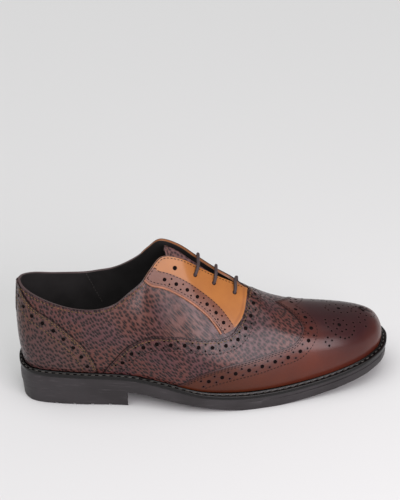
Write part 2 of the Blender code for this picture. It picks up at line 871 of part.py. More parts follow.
def make_tongue():
    """Strip under the facings, from below the vamp to its rounded free top."""
    builder = bmesh.new()
    depth = UPPER_WALL + 2 * GAP + TONGUE_THICKNESS
    rows = []
    first = 16.8
    last = 11.3
    steps = 9
    for step in range(steps + 1):
        rib = first + (last - first) * step / steps
        under_vamp = ease(THROAT_RIB - 2, THROAT_RIB, rib)
        rows.append(tongue_section(rib, depth + under_vamp * MM, 1.0))
    end = rows[-1]
    rise = (end[5] - rows[-2][5]).normalized()
    centre = end[5]
    for climb, narrow in ((0.45, 0.93), (0.8, 0.8), (1.0, 0.6)):
        row = []
        for point in end:
            spread = point - centre
            row.append(centre + spread * narrow + rise * TONGUE_ABOVE_FACING * climb)
        rows.append(row)
    add_grid(builder, rows, flip=False)
    clean(builder)
    made = add_object("tongue", builder, material("tongue_leather", (0.16, 0.085, 0.08), 0.45))
    thicken(made, TONGUE_THICKNESS, outward=True)
    return made


LACE_RIBS = (12.4, 13.7, 15.0)
LACE_UP = 0.93
LACE_RISE = 2.0 * MM


def lace_height():
    return PANEL_GAP + FACING_THICKNESS + GAP + LACE_RADIUS


def make_lace():
    """Straight bars across the throat, joined by runs beside the eyelets."""
    points = []
    for index, rib in enumerate(LACE_RIBS):
        ends = []
        for side in (LATERAL, MEDIAL):
            ends.append([raised_point(side, rib, up, lace_height()) for up in (LACE_UP, 0.999)])
        if index % 2:
            ends.reverse()
        middle = (ends[0][1] + ends[1][1]) / 2
        middle.z += LACE_RISE
        points += ends[0] + [middle] + ends[1][::-1]
        if index < len(LACE_RIBS) - 1:
            side = LATERAL if index % 2 else MEDIAL
            for share in (0.33, 0.67):
                ahead = rib + (LACE_RIBS[index + 1] - rib) * share
                points.append(raised_point(side, ahead, LACE_UP, lace_height()))
    data = bpy.data.curves.new("lace", "CURVE")
    data.dimensions = "3D"
    spline = data.splines.new("POLY")
    spline.points.add(len(points) - 1)
    for spot, point in zip(spline.points, points):
        spot.co = (*point, 1.0)
    data.bevel_depth = LACE_RADIUS
    data.bevel_resolution = 1
    data.use_fill_caps = True
    made = bpy.data.objects.new("lace", data)
    data.materials.append(material("lace_cotton", (0.05, 0.025, 0.03), 0.8))
    bpy.context.scene.collection.objects.link(made)
    return made


def centre_on_floor():
    """Move every mesh so that the whole part stands over the origin."""
    bpy.context.view_layer.update()
    shapes = bpy.context.evaluated_depsgraph_get()
    low = Vector((1.0, 1.0, 1.0))
    high = Vector((-1.0, -1.0, -1.0))
    for item in bpy.context.scene.objects:
        if item.hide_render:
            continue
        mesh = item.evaluated_get(shapes).to_mesh()
        for vertex in mesh.vertices:
            for axis in range(3):
                low[axis] = min(low[axis], vertex.co[axis])
                high[axis] = max(high[axis], vertex.co[axis])
    shift = Matrix.Translation((-(low.x + high.x) / 2, -(low.y + high.y) / 2, -low.z))
    for item in bpy.context.scene.objects:
        item.data.transform(shift)


def main():
    clear_scene()
    make_outsole()
    make_welt()
    make_insole()
    make_upper()
    make_tongue()
    make_counter_patch()
    make_facing(LATERAL, "facing_lateral")
    make_facing(MEDIAL, "facing_medial")
    make_vamp()
    make_wing_cap()
    make_lace()
    centre_on_floor()


main()
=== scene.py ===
"""Looks of the brogue shoe: leather, punched pattern, stitches, lace, welt and sole.

Shoe units: metres, +X from the heel (0) to the toe, +Y to the inner side of the foot,
+Z up. move_to_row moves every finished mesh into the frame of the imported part.
"""

from collections import namedtuple
from math import cos, pi, radians, sin

import bmesh
import bpy
from mathutils import Matrix, Vector
from mathutils.kdtree import KDTree


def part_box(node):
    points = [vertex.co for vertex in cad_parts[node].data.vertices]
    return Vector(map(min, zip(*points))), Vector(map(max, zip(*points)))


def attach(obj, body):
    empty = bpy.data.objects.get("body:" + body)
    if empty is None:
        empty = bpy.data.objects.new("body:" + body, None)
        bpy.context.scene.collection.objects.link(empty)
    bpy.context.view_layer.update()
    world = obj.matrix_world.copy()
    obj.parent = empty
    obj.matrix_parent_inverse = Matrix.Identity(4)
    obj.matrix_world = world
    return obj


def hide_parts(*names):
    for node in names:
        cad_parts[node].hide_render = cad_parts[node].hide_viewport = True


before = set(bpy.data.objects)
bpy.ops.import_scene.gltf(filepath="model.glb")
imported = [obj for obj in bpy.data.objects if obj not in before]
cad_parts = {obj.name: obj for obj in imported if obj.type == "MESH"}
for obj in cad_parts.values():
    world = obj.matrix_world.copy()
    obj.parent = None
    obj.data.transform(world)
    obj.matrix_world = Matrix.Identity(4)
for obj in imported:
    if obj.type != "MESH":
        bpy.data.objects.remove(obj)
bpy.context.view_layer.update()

MM = 0.001

# Driving sizes of the part
SHOE_LENGTH = 309.5 * MM
BALL_WIDTH = 104 * MM
INSTEP_HEIGHT = 124 * MM
HEEL_HEIGHT = 29.5 * MM
WELT_AT_HEEL = 4.6 * MM
WELT_AT_TOE = 7.0 * MM
GAP = 0.3 * MM
THROAT_RIB = 16
LAST_RIB = 22
LATERAL = -1
MEDIAL = 1
SIDES = (LATERAL, MEDIAL)

# Leather
UPPER_WALL = 2.0 * MM
SEAT = 0.05 * MM
COUNTER_HEIGHT = 0.8 * MM
FACING_HEIGHT = 0.9 * MM
VAMP_HEIGHT = 1.2 * MM
CAP_HEIGHT = 1.75 * MM
BACK_STRIP_HEIGHT = 1.2 * MM
PANEL_FOOT_UP = 0.02
EDGE_ROUND = 0.35 * MM
TOPLINE_ROUND = 0.7 * MM

# Punched pattern
BIG_HOLE = 1.7 * MM
SMALL_HOLE = 0.85 * MM
PAIR_HALF_GAP = 2.7 * MM
STRIP_HALF_GAP = 2.3 * MM
HOLE_PITCH = 11.2 * MM
COUNTER_HOLE_PITCH = 10.5 * MM
STRIP_HOLE_PITCH = 10.2 * MM
CAP_HOLE_LINE = 7.5 * MM
VAMP_HOLE_LINE = 6.2 * MM
COUNTER_HOLE_LINE = 6.5 * MM
EYELET_HOLE = 1.9 * MM
HOLE_DEPTH = 0.85 * MM
HOLE_TAPER = 0.85
PUNCH_ABOVE = 1.5 * MM

# Stitches
STITCH_LENGTH = 2.0 * MM
STITCH_PITCH = 2.9 * MM
STITCH_RADIUS = 0.33 * MM
WELT_STITCH_LENGTH = 3.8 * MM
WELT_STITCH_PITCH = 5.9 * MM

OutlineRow = namedtuple("OutlineRow", "along out")
HeightRow = namedtuple("HeightRow", "along height")
EdgeRow = namedtuple("EdgeRow", "rib up")


def rows_of(kind, *rows):
    return [kind(*row) for row in rows]


# Outline of the welt seen from above: shares of the length, and of the ball width
# away from the middle line, from the back of the heel to the tip of the toe.
LATERAL_OUTLINE = rows_of(
    OutlineRow,
    (0.000, 0.000), (0.005, 0.125), (0.018, 0.203), (0.037, 0.252), (0.068, 0.288), (0.108, 0.316),
    (0.164, 0.343), (0.216, 0.359), (0.268, 0.380), (0.314, 0.408), (0.364, 0.454), (0.413, 0.496),
    (0.468, 0.520), (0.543, 0.525), (0.599, 0.514), (0.675, 0.476), (0.751, 0.420), (0.823, 0.361),
    (0.865, 0.318), (0.903, 0.272), (0.935, 0.217), (0.972, 0.113), (0.989, 0.022), (0.997, -0.064),
    (1.000, -0.135),
)
MEDIAL_OUTLINE = rows_of(
    OutlineRow,
    (0.000, 0.000), (0.005, 0.125), (0.018, 0.200), (0.037, 0.246), (0.068, 0.286), (0.108, 0.318),
    (0.164, 0.338), (0.216, 0.336), (0.277, 0.315), (0.358, 0.279), (0.439, 0.273), (0.520, 0.335),
    (0.610, 0.430), (0.680, 0.472), (0.750, 0.484), (0.820, 0.475), (0.880, 0.450), (0.930, 0.410),
    (0.965, 0.358), (0.989, 0.280), (0.997, 0.209), (1.000, 0.135),
)

# Height of the welt's top and of the sole's underside along the shoe: shares of the
# length and of the heel height.
WELT_LINE = rows_of(
    HeightRow,
    (0.000, 1.050), (0.065, 1.020), (0.194, 0.983), (0.291, 0.944), (0.387, 0.800), (0.484, 0.560),
    (0.581, 0.478), (0.662, 0.478), (0.759, 0.542), (0.856, 0.678), (0.939, 0.847), (1.000, 0.966),
)
UNDERSIDE_LINE = rows_of(
    HeightRow,
    (0.000, 0.480), (0.284, 0.450), (0.350, 0.370), (0.420, 0.255), (0.484, 0.130), (0.549, 0.030),
    (0.590, 0.000), (0.675, 0.000), (0.759, 0.068), (0.856, 0.220), (0.939, 0.407), (1.000, 0.542),
)

# Ribs of the upper, from the back seam (0) to the tip of the toe (22). Each rib is one
# curve from the welt to the topline or, ahead of the throat, to the ridge.
# around: share of the outline's side; top_x: share of the length; lateral_y, medial_y:
# top end away from the middle, shares of the ball width; lateral_z, medial_z: shares of
# the instep height; low and high pulls of the curve, in the same shares.
Rib = namedtuple(
    "Rib", "around top_x lateral_y medial_y lateral_z medial_z low_out low_up high_out high_drop"
)
RIBS = rows_of(
    Rib,
    (0.000, 0.008, 0.000, 0.000, 0.815, 0.815, 0.052, 0.170, 0.024, 0.185),
    (0.040, 0.018, 0.095, 0.095, 0.802, 0.808, 0.054, 0.170, 0.026, 0.183),
    (0.087, 0.049, 0.175, 0.175, 0.770, 0.786, 0.054, 0.165, 0.032, 0.177),
    (0.142, 0.096, 0.235, 0.235, 0.732, 0.752, 0.053, 0.160, 0.038, 0.165),
    (0.192, 0.142, 0.275, 0.275, 0.708, 0.731, 0.045, 0.153, 0.040, 0.153),
    (0.236, 0.185, 0.293, 0.290, 0.698, 0.724, 0.040, 0.145, 0.040, 0.145),
    (0.276, 0.221, 0.298, 0.295, 0.705, 0.732, 0.040, 0.145, 0.040, 0.145),
    (0.317, 0.258, 0.279, 0.279, 0.728, 0.753, 0.040, 0.145, 0.042, 0.153),
    (0.355, 0.291, 0.250, 0.250, 0.784, 0.798, 0.043, 0.145, 0.050, 0.170),
    (0.390, 0.325, 0.212, 0.221, 0.842, 0.860, 0.048, 0.153, 0.067, 0.194),
    (0.422, 0.349, 0.173, 0.183, 0.915, 0.931, 0.048, 0.160, 0.086, 0.218),
    (0.458, 0.382, 0.125, 0.135, 0.990, 1.008, 0.048, 0.170, 0.106, 0.242),
    (0.500, 0.430, 0.106, 0.115, 0.964, 0.972, 0.048, 0.177, 0.135, 0.226),
    (0.545, 0.477, 0.080, 0.091, 0.885, 0.890, 0.053, 0.185, 0.154, 0.194),
    (0.590, 0.524, 0.055, 0.066, 0.806, 0.809, 0.058, 0.185, 0.173, 0.160),
    (0.638, 0.570, 0.034, 0.043, 0.738, 0.740, 0.063, 0.185, 0.200, 0.105),
    (0.680, 0.611, 0.018, -0.018, 0.675, 0.675, 0.067, 0.177, 0.240, 0.028),
    (0.730, 0.666, 0.024, -0.024, 0.588, 0.588, 0.067, 0.170, 0.280, 0.010),
    (0.782, 0.727, 0.010, -0.010, 0.524, 0.524, 0.063, 0.153, 0.305, 0.010),
    (0.829, 0.787, -0.014, 0.014, 0.493, 0.493, 0.058, 0.145, 0.300, 0.014),
    (0.879, 0.840, -0.042, 0.042, 0.470, 0.470, 0.048, 0.137, 0.265, 0.020),
    (0.934, 0.888, -0.076, 0.076, 0.448, 0.448, 0.034, 0.110, 0.220, 0.030),
    (1.000, 0.906, -0.105, 0.105, 0.437, 0.437, 0.019, 0.090, 0.175, 0.036),
)

# Panel edges on the upper: along in ribs, up as the share of the rib from the welt.
SWAN_NECK_EDGE = rows_of(
    EdgeRow,
    (5.20, 0.000), (5.75, 0.180), (7.00, 0.430), (8.80, 0.505), (10.6, 0.458), (12.2, 0.443),
    (13.6, 0.495), (14.6, 0.640), (15.35, 0.810), (16.0, 1.000),
)
WING_EDGE = rows_of(
    EdgeRow,
    (9.60, 0.000), (11.2, 0.165), (13.0, 0.262), (15.0, 0.337), (16.5, 0.402), (17.4, 0.570),
    (17.70, 0.720), (17.62, 0.870), (17.26, 1.000),
)
FACING_LOW_EDGE = rows_of(
    EdgeRow,
    (9.30, 0.990), (10.0, 0.865), (10.9, 0.765), (12.0, 0.687), (12.8, 0.607), (13.15, 0.495),
)
FACING_FRONT_EDGE = rows_of(
    EdgeRow,
    (13.15, 0.495), (13.9, 0.565), (14.65, 0.680), (15.2, 0.810), (15.5, 0.920), (15.7, 0.995),
)
COUNTER_EDGE = rows_of(
    EdgeRow,
    (4.85, 0.000), (4.80, 0.160), (4.35, 0.460), (3.20, 0.737), (1.90, 0.850), (0.80, 0.985),
)
TOE_RIB_EDGE = rows_of(EdgeRow, (22.0, 0.0), (22.0, 1.0))
BACK_RIB_EDGE = rows_of(EdgeRow, (0.0, 0.0), (0.0, 0.985))
BACK_STRIP_EDGE = rows_of(EdgeRow, (0.42, 0.62), (0.36, 1.0))
BACK_STRIP_MIDDLE = rows_of(EdgeRow, (0.0, 0.62), (0.0, 1.0))
THROAT_TOPLINE = rows_of(EdgeRow, (9.45, 0.999), (12.5, 0.999), (15.6, 0.999))
COLLAR_TOPLINE = rows_of(EdgeRow, (0.45, 0.999), (4.8, 0.999), (9.2, 0.999))


def hermite(start, leaving, end, arriving, t):
    """Value on the way from start to end, with the pulls that it leaves and arrives with."""
    return (
        start * (2 * t**3 - 3 * t**2 + 1)
        + leaving * (t**3 - 2 * t**2 + t)
        + end * (3 * t**2 - 2 * t**3)
        + arriving * (t**3 - t**2)
    )


def neighbours(rows, index):
    """The rows before, at, after and two after an index, held at both ends."""
    return [rows[min(max(index + step, 0), len(rows) - 1)] for step in (-1, 0, 1, 2)]


def running_lengths(points):
    """Length along the points up to each one."""
    lengths = [0.0]
    for start, end in zip(points, points[1:]):
        lengths.append(lengths[-1] + (end - start).length)
    return lengths


def span_at(lengths, goal):
    """Index of the span that holds a running length, and the share passed there."""
    index = 0
    while index < len(lengths) - 2 and lengths[index + 1] < goal:
        index += 1
    return index, (goal - lengths[index]) / (lengths[index + 1] - lengths[index])


def curve_rows(rows, share):
    """Value of every column at a share (0 to 1) of the way through the rows."""
    place = min(max(share, 0.0), 1.0) * (len(rows) - 1)
    index = min(int(place), len(rows) - 2)
    values = [
        hermite(b, (c - a) / 2, c, (d - b) / 2, place - index)
        for a, b, c, d in zip(*neighbours(rows, index))
    ]
    return type(rows[0])(*values)


def height_at(rows, along):
    """Height of a line at a share of the length, eased between its rows."""
    along = min(max(along, rows[0].along), rows[-1].along)
    index = 0
    while along > rows[index + 1].along:
        index += 1
    before, start, end, after = neighbours(rows, index)
    span = end.along - start.along
    slope_start = span * (end.height - before.height) / (end.along - before.along)
    slope_end = span * (after.height - start.height) / (after.along - start.along)
    return hermite(start.height, slope_start, end.height, slope_end, (along - start.along) / span)


def welt_height(x):
    return HEEL_HEIGHT * height_at(WELT_LINE, x / SHOE_LENGTH)


def underside_height(x):
    return max(HEEL_HEIGHT * height_at(UNDERSIDE_LINE, x / SHOE_LENGTH), 0.0)


OUTLINE_STEPS = 12
NEAR = 1e-6


def make_outline():
    """Points around the welt's edge from above, closed, and the index of the toe."""
    lateral = [(row.along * SHOE_LENGTH, -row.out * BALL_WIDTH) for row in LATERAL_OUTLINE]
    medial = [(row.along * SHOE_LENGTH, row.out * BALL_WIDTH) for row in MEDIAL_OUTLINE]
    corners = [Vector(corner) for corner in lateral + medial[-2:0:-1]]
    points = []
    for index in range(len(corners)):
        a, b, c, d = (corners[(index + step) % len(corners)] for step in (-1, 0, 1, 2))
        span = (c - b).length
        pull_b = (c - a) * span / ((b - a).length + span)
        pull_c = (d - b) * span / ((d - c).length + span)
        for step in range(OUTLINE_STEPS):
            points.append(hermite(b, pull_b, c, pull_c, step / OUTLINE_STEPS))
    return points, (len(LATERAL_OUTLINE) - 1) * OUTLINE_STEPS


OUTLINE, TOE_INDEX = make_outline()


def side_path(side):
    """The outline's points on one side, from the heel to the toe."""
    if side == LATERAL:
        return OUTLINE[: TOE_INDEX + 1]
    return [OUTLINE[0]] + OUTLINE[: TOE_INDEX - 1 : -1]


PATHS = {LATERAL: side_path(LATERAL), MEDIAL: side_path(MEDIAL)}


PATH_LENGTHS = {side: running_lengths(path) for side, path in PATHS.items()}


def outline_point(side, around):
    """Point on the welt's edge and the outward direction there, both level."""
    path = PATHS[side]
    other = PATHS[-side]
    goal = min(max(around, 0.0), 1.0) * PATH_LENGTHS[side][-1]
    index, t = span_at(PATH_LENGTHS[side], goal)
    point = path[index].lerp(path[index + 1], t)
    before = path[index - 1] if index > 0 else other[1]
    after = path[index + 2] if index < len(path) - 2 else other[-2]
    first = (path[index + 1] - before).normalized()
    second = (after - path[index]).normalized()
    along = first.lerp(second, t).normalized()
    outward = Vector((-side * along.y, side * along.x, 0.0))
    if around < NEAR or around > 1.0 - NEAR:
        outward = Vector((1.0 if around > 0.5 else -1.0, 0.0, 0.0))
    return Vector((point.x, point.y, 0.0)), outward


def ease(low, high, value):
    t = min(max((value - low) / (high - low), 0.0), 1.0)
    return t * t * (3 - 2 * t)


def welt_show(x):
    """How far the welt stands out beyond the upper."""
    share = ease(0.30, 0.62, x / SHOE_LENGTH)
    return WELT_AT_HEEL + (WELT_AT_TOE - WELT_AT_HEEL) * share


Station = namedtuple("Station", "foot low high top")
STATIONS_PER_RIB = 24


def make_station(side, rib):
    """The four points that pull one rib's curve, from the welt to the top."""
    row = curve_rows(RIBS, rib / LAST_RIB)
    edge, outward = outline_point(side, row.around)
    foot = edge - outward * welt_show(edge.x)
    foot.z = welt_height(foot.x) + GAP
    top_y, top_z = row.medial_y, row.medial_z
    if rib > THROAT_RIB - NEAR:
        top_y = (row.medial_y - row.lateral_y) / 2
        top_z = (row.medial_z + row.lateral_z) / 2
    elif side == LATERAL:
        top_y, top_z = -row.lateral_y, row.lateral_z
    top = Vector((row.top_x * SHOE_LENGTH, top_y * BALL_WIDTH, top_z * INSTEP_HEIGHT))
    low = foot + outward * row.low_out * BALL_WIDTH
    low.z += row.low_up * INSTEP_HEIGHT
    high = top + outward * row.high_out * BALL_WIDTH
    high.z -= row.high_drop * INSTEP_HEIGHT
    return Station(foot, low, high, top)


STATIONS = {
    side: [
        make_station(side, index / STATIONS_PER_RIB)
        for index in range(LAST_RIB * STATIONS_PER_RIB + 1)
    ]
    for side in SIDES
}


def upper_point(side, rib, up):
    """Point on the upper's outer face: rib 0 to 22, up from the welt (0) to the top (1)."""
    place = min(max(rib, 0.0), LAST_RIB) * STATIONS_PER_RIB
    index = min(int(place), LAST_RIB * STATIONS_PER_RIB - 1)
    pair = zip(STATIONS[side][index], STATIONS[side][index + 1])
    foot, low, high, top = (start.lerp(end, place - index) for start, end in pair)
    t = up
    return (
        foot * (1 - t) ** 3
        + low * (3 * t * (1 - t) ** 2)
        + high * (3 * t * t * (1 - t))
        + top * t**3
    )


def surface_slopes(side, rib, up):
    """How the surface point moves per rib and per unit of up."""
    rib = min(max(rib, 0.05), LAST_RIB - 0.05)
    up = min(max(up, 0.01), 0.985)
    along = (upper_point(side, rib + 0.05, up) - upper_point(side, rib - 0.05, up)) / 0.1
    rise = (upper_point(side, rib, up + 0.01) - upper_point(side, rib, up - 0.01)) / 0.02
    return along, rise


def upper_normal(side, rib, up):
    along, rise = surface_slopes(side, rib, up)
    return (along.cross(rise) * -side).normalized()


def raised_point(side, rib, up, height):
    """Point above the upper; the two sides share their points where they meet."""
    normal = upper_normal(side, rib, up)
    on_end = rib < NEAR or rib > LAST_RIB - NEAR
    on_ridge = up > 1.0 - NEAR and rib > THROAT_RIB - NEAR
    if on_end or on_ridge:
        normal = (normal + upper_normal(-side, rib, up)).normalized()
    return upper_point(side, rib, up) + normal * height


def edge_at(edge, share):
    """(rib, up) on an edge; every panel ends a little above the welt."""
    row = curve_rows(edge, share)
    return row.rib, PANEL_FOOT_UP + row.up * (1.0 - PANEL_FOOT_UP)


FACING_TUCK = 0.22
CAP_OVERLAP = 0.25


def facing_place(across, up_share):
    """(rib, up) inside a facing: across from its tail to its front, under the vamp."""
    low_rib, low_up = edge_at(FACING_LOW_EDGE, across)
    tail = FACING_LOW_EDGE[0]
    start = FACING_FRONT_EDGE[0]
    end = FACING_FRONT_EDGE[-1]
    top_rib = tail.rib + across * (end.rib - tail.rib)
    front_rib, front_up = edge_at(FACING_FRONT_EDGE, up_share)
    bulge = front_rib - (start.rib + (end.rib - start.rib) * up_share)
    lift = front_up - (start.up + (end.up - start.up) * up_share)
    rib = low_rib + (top_rib - low_rib) * up_share + bulge * across
    up = low_up + (end.up - low_up) * up_share + lift * across
    return rib + FACING_TUCK * across**6, min(up, end.up)


def between_edges(start_edge, end_edge, end_shift=0.0, crowd=1.0, lag=1.0):
    """Place function of a panel between two edges: (share along, share up) to (rib, up)."""

    def place(along, rise):
        start_rib, start_up = edge_at(start_edge, rise)
        end_rib, end_up = edge_at(end_edge, rise**lag)
        t = 1 - (1 - along) ** crowd
        rib = start_rib * (1 - t) + (end_rib + end_shift) * t
        up = start_up * (1 - t) + end_up * t
        return rib, min(up, 1.0)

    return place


# Finishing and placing


def place_in_row():
    """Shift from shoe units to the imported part's frame, read from the welt's box."""
    low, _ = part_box("welt")
    return Vector((low.x, low.y - min(point.y for point in OUTLINE), 0.0))


SHIFT = place_in_row()


def add_object(name, data):
    made = bpy.data.objects.new(name, data)
    bpy.context.scene.collection.objects.link(made)
    return made


def mesh_of(name, builder, surfaces=()):
    """Turn a filled bmesh into a mesh with its materials."""
    mesh = bpy.data.meshes.new(name)
    builder.to_mesh(mesh)
    builder.free()
    for surface in surfaces:
        mesh.materials.append(surface)
    return mesh


def add_piece(name, builder, surfaces, nodes=()):
    """Make a smooth mesh piece of a filled bmesh, riding on the part's one body."""
    for face in builder.faces:
        face.smooth = True
    piece = add_object(name, mesh_of(name, builder, surfaces))
    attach(piece, "root")
    if nodes:
        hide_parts(*nodes)
    return piece


def settle(piece, sharp_angle=None):
    """Turn the piece's modifiers into plain mesh."""
    shapes = bpy.context.evaluated_depsgraph_get()
    shapes.update()
    mesh = bpy.data.meshes.new_from_object(piece.evaluated_get(shapes))
    piece.modifiers.clear()
    piece.data = mesh
    if sharp_angle:
        mesh.set_sharp_from_angle(angle=radians(sharp_angle))
    return mesh


def move_to_row(piece):
    piece.data.transform(Matrix.Translation(SHIFT))


MARK_REACH = 30 * MM
FAR_AWAY = Vector((0.0, 0.0, 1.0))


def mark_distance(mesh, name, points):
    """Store each vertex's distance to the nearest of the points, in millimetres."""
    tree = KDTree(len(points) + 1)
    for index, point in enumerate([*points, FAR_AWAY]):
        tree.insert(point, index)
    tree.balance()
    values = [min(tree.find(vertex.co)[2], MARK_REACH) / MM for vertex in mesh.vertices]
    mesh.attributes.new(name, "FLOAT", "POINT").data.foreach_set("value", values)


def shaped_grid(builder, columns, rows, place, turned=False, flat=None):
    """Add a grid whose points go where place(across, up) says, both from 0 to 1.

    flat(across, up) gives a point's place on the flat hide, for the grain."""
    made = bmesh.ops.create_grid(builder, x_segments=columns, y_segments=rows, size=0.5)
    hide = {}
    for vertex in made["verts"]:
        across, up = vertex.co.x + 0.5, vertex.co.y + 0.5
        vertex.co = place(across, up)
        if flat:
            hide[vertex] = flat(across, up)
    faces = {face for vertex in made["verts"] for face in vertex.link_faces}
    if flat:
        layers = builder.loops.layers.uv
        layer = layers.get("UVMap") or layers.new("UVMap")
        for face in faces:
            for corner in face.loops:
                corner[layer].uv = hide[corner.vert]
    if turned:
        bmesh.ops.reverse_faces(builder, faces=list(faces))


# Lengths from the back seam to each quarter of a rib, at half height
SIDE_LENGTHS = running_lengths(
    [upper_point(LATERAL, step / 4, 0.5) for step in range(LAST_RIB * 4 + 1)]
)


def side_length(rib):
    place = min(max(rib * 4, 0.0), len(SIDE_LENGTHS) - 1.001)
    low = int(place)
    return SIDE_LENGTHS[low] + (SIDE_LENGTHS[low + 1] - SIDE_LENGTHS[low]) * (place - low)


def rib_length(side, rib):
    place = min(max(rib, 0.0), LAST_RIB) * STATIONS_PER_RIB
    foot, low, high, top = STATIONS[side][round(place)]
    walls = (low - foot).length + (high - low).length + (top - high).length
    return (walls + (top - foot).length) / 2


SAME_PLACE = 0.001 * MM


def merge_seams(builder):
    bmesh.ops.remove_doubles(builder, verts=builder.verts, dist=SAME_PLACE)


def skin_panel(place, height, columns, rows, sides):
    """Outer skin of a panel that lies on the upper, on one side or joined over both."""
    builder = bmesh.new()
    for side in sides:

        def point(across, rise, side=side):
            rib, up = place(across, rise)
            return raised_point(side, rib, up, height)

        def flat(across, rise, side=side):
            rib, up = place(across, rise)
            return side_length(rib), up * rib_length(side, rib)

        shaped_grid(builder, columns, rows, point, turned=side == MEDIAL, flat=flat)
    merge_seams(builder)
    return builder


def close_seams(builder):
    merge_seams(builder)
    bmesh.ops.recalc_face_normals(builder, faces=builder.faces)


def give_wall(piece, thickness, inner_slot=0, rim_slot=0):
    wall = piece.modifiers.new("Wall", "SOLIDIFY")
    wall.thickness = thickness
    wall.offset = -1.0
    wall.use_even_offset = False
    wall.use_rim = True
    wall.material_offset = inner_slot
    wall.material_offset_rim = rim_slot


def round_rims(piece, width, segments=2):
    soft = piece.modifiers.new("Rims", "BEVEL")
    soft.width = width
    soft.segments = segments
    soft.limit_method = "ANGLE"
    soft.angle_limit = radians(50)
    soft.harden_normals = False


# Lines on the upper

LINE_STEPS = 160
Spot = namedtuple("Spot", "side rib up")


def step_along(side, rib, up, move):
    """(rib, up) after a small move along the surface."""
    along, rise = surface_slopes(side, rib, up)
    a = along.dot(along)
    b = along.dot(rise)
    c = rise.dot(rise)
    first = along.dot(move)
    second = rise.dot(move)
    divisor = a * c - b * b
    return rib + (c * first - b * second) / divisor, up + (a * second - b * first) / divisor


EDGE_STEP = 0.01
MOVES = 3
RIDGE_UP = 0.995


def line_beside(side, edge, inward, toward):
    """Spots on a line beside an edge; toward is a (rib, up) on the side that it lies on."""

    def across_edge(share):
        behind = upper_point(side, *edge_at(edge, max(share - EDGE_STEP, 0.0)))
        ahead = upper_point(side, *edge_at(edge, min(share + EDGE_STEP, 1.0)))
        return upper_normal(side, *edge_at(edge, share)).cross(ahead - behind).normalized()

    goal = upper_point(side, *toward) - upper_point(side, *edge_at(edge, 0.5))
    turn = -1.0 if across_edge(0.5).dot(goal) < 0 else 1.0
    spots = []
    for step in range(LINE_STEPS + 1):
        rib, up = edge_at(edge, step / LINE_STEPS)
        across = across_edge(step / LINE_STEPS) * turn
        for _ in range(MOVES):
            rib, up = step_along(side, rib, up, across * inward / MOVES)
        spots.append(Spot(side, rib, up))
    return spots


def up_to_ridge(spots):
    """Cut or lengthen a line so that it ends on the ridge, along its last few spots."""
    kept = [spot for spot in spots if spot.up < RIDGE_UP]
    last = kept[-1]
    before = kept[-6]
    rise = max(last.up - before.up, 0.01)
    reach = min((1.0 - last.up) / rise, 2.0)
    end = Spot(last.side, last.rib + (last.rib - before.rib) * reach, 1.0)
    return kept + [end]


ABOVE_FOOT = 0.055


def ridge_line(side, edge, inward, toward, low=ABOVE_FOOT):
    """Line beside a panel's edge, from just above the welt to the ridge."""
    spots = up_to_ridge(line_beside(side, edge, inward, toward))
    return [spot for spot in spots if spot.up > low]


Stop = namedtuple("Stop", "point normal tangent")


def spot_point(spot, height):
    return upper_point(*spot) + upper_normal(*spot) * height


def walk(spots, pitch, height, start=0.5, end=0.5):
    """Stops at an even pitch along a line; start and end are shares of the pitch."""
    points = [spot_point(spot, height) for spot in spots]
    lengths = running_lengths(points)
    count = max(round(lengths[-1] / pitch - start - end), 1)
    real_pitch = lengths[-1] / (count + start + end)
    stops = []
    for number in range(count + 1):
        index, share = span_at(lengths, (start + number) * real_pitch)
        first = spots[index]
        second = spots[index + 1]
        rib = first.rib + (second.rib - first.rib) * share
        up = first.up + (second.up - first.up) * share
        tangent = (points[index + 1] - points[index]).normalized()
        point = points[index].lerp(points[index + 1], share)
        stops.append(Stop(point, upper_normal(first.side, rib, up), tangent))
    return stops


def turn_to(normal, tangent):
    """Turn that sets Z along the normal and X along the tangent."""
    z = normal.normalized()
    y = z.cross(tangent).normalized()
    x = y.cross(z)
    return Matrix((x, y, z)).transposed().to_4x4()


def add_stitches(builder, stops, length=STITCH_LENGTH, width=STITCH_RADIUS, rise=STITCH_RADIUS):
    """One row of stitches, each a long bead half sunk in the leather."""
    row = bmesh.new()
    size = Matrix.Diagonal((length / 2, width, rise, 1.0)) @ Matrix.Rotation(pi / 2, 4, "Y")
    for stop in stops:
        place = Matrix.Translation(stop.point) @ turn_to(stop.normal, stop.tangent) @ size
        bmesh.ops.create_uvsphere(row, u_segments=6, v_segments=4, radius=1.0, matrix=place)
    mesh = mesh_of("stitch_row", row)
    builder.from_mesh(mesh)
    bpy.data.meshes.remove(mesh)


Hole = namedtuple("Hole", "point normal radius depth")


def brogue_line(spots, height, pitch, start=0.5, end=0.5, half_gap=PAIR_HALF_GAP):
    """Big holes along a line, with a pair of small ones half_gap off it between neighbours."""
    stops = walk(spots, pitch / 2, height, start * 2, end * 2)
    depth = min(HOLE_DEPTH, (height - SEAT) * 0.75)
    holes = []
    for number, stop in enumerate(stops):
        if number % 2 == 0:
            holes.append(Hole(stop.point, stop.normal, BIG_HOLE, depth))
        elif half_gap:
            across = stop.normal.cross(stop.tangent).normalized()
            for way in (-1, 1):
                point = stop.point + across * way * half_gap
                holes.append(Hole(point, stop.normal, SMALL_HOLE, depth))
    return holes


def cut_away(piece, builder, sharp_angle):
    """Take a filled bmesh's solids out of a piece."""
    cutter = add_object("cutter", mesh_of("cutter", builder, piece.data.materials))
    cut = piece.modifiers.new("Cut", "BOOLEAN")
    cut.operation = "DIFFERENCE"
    cut.solver = "MANIFOLD"
    cut.object = cutter
    settle(piece, sharp_angle)
    bpy.data.objects.remove(cutter, do_unlink=True)


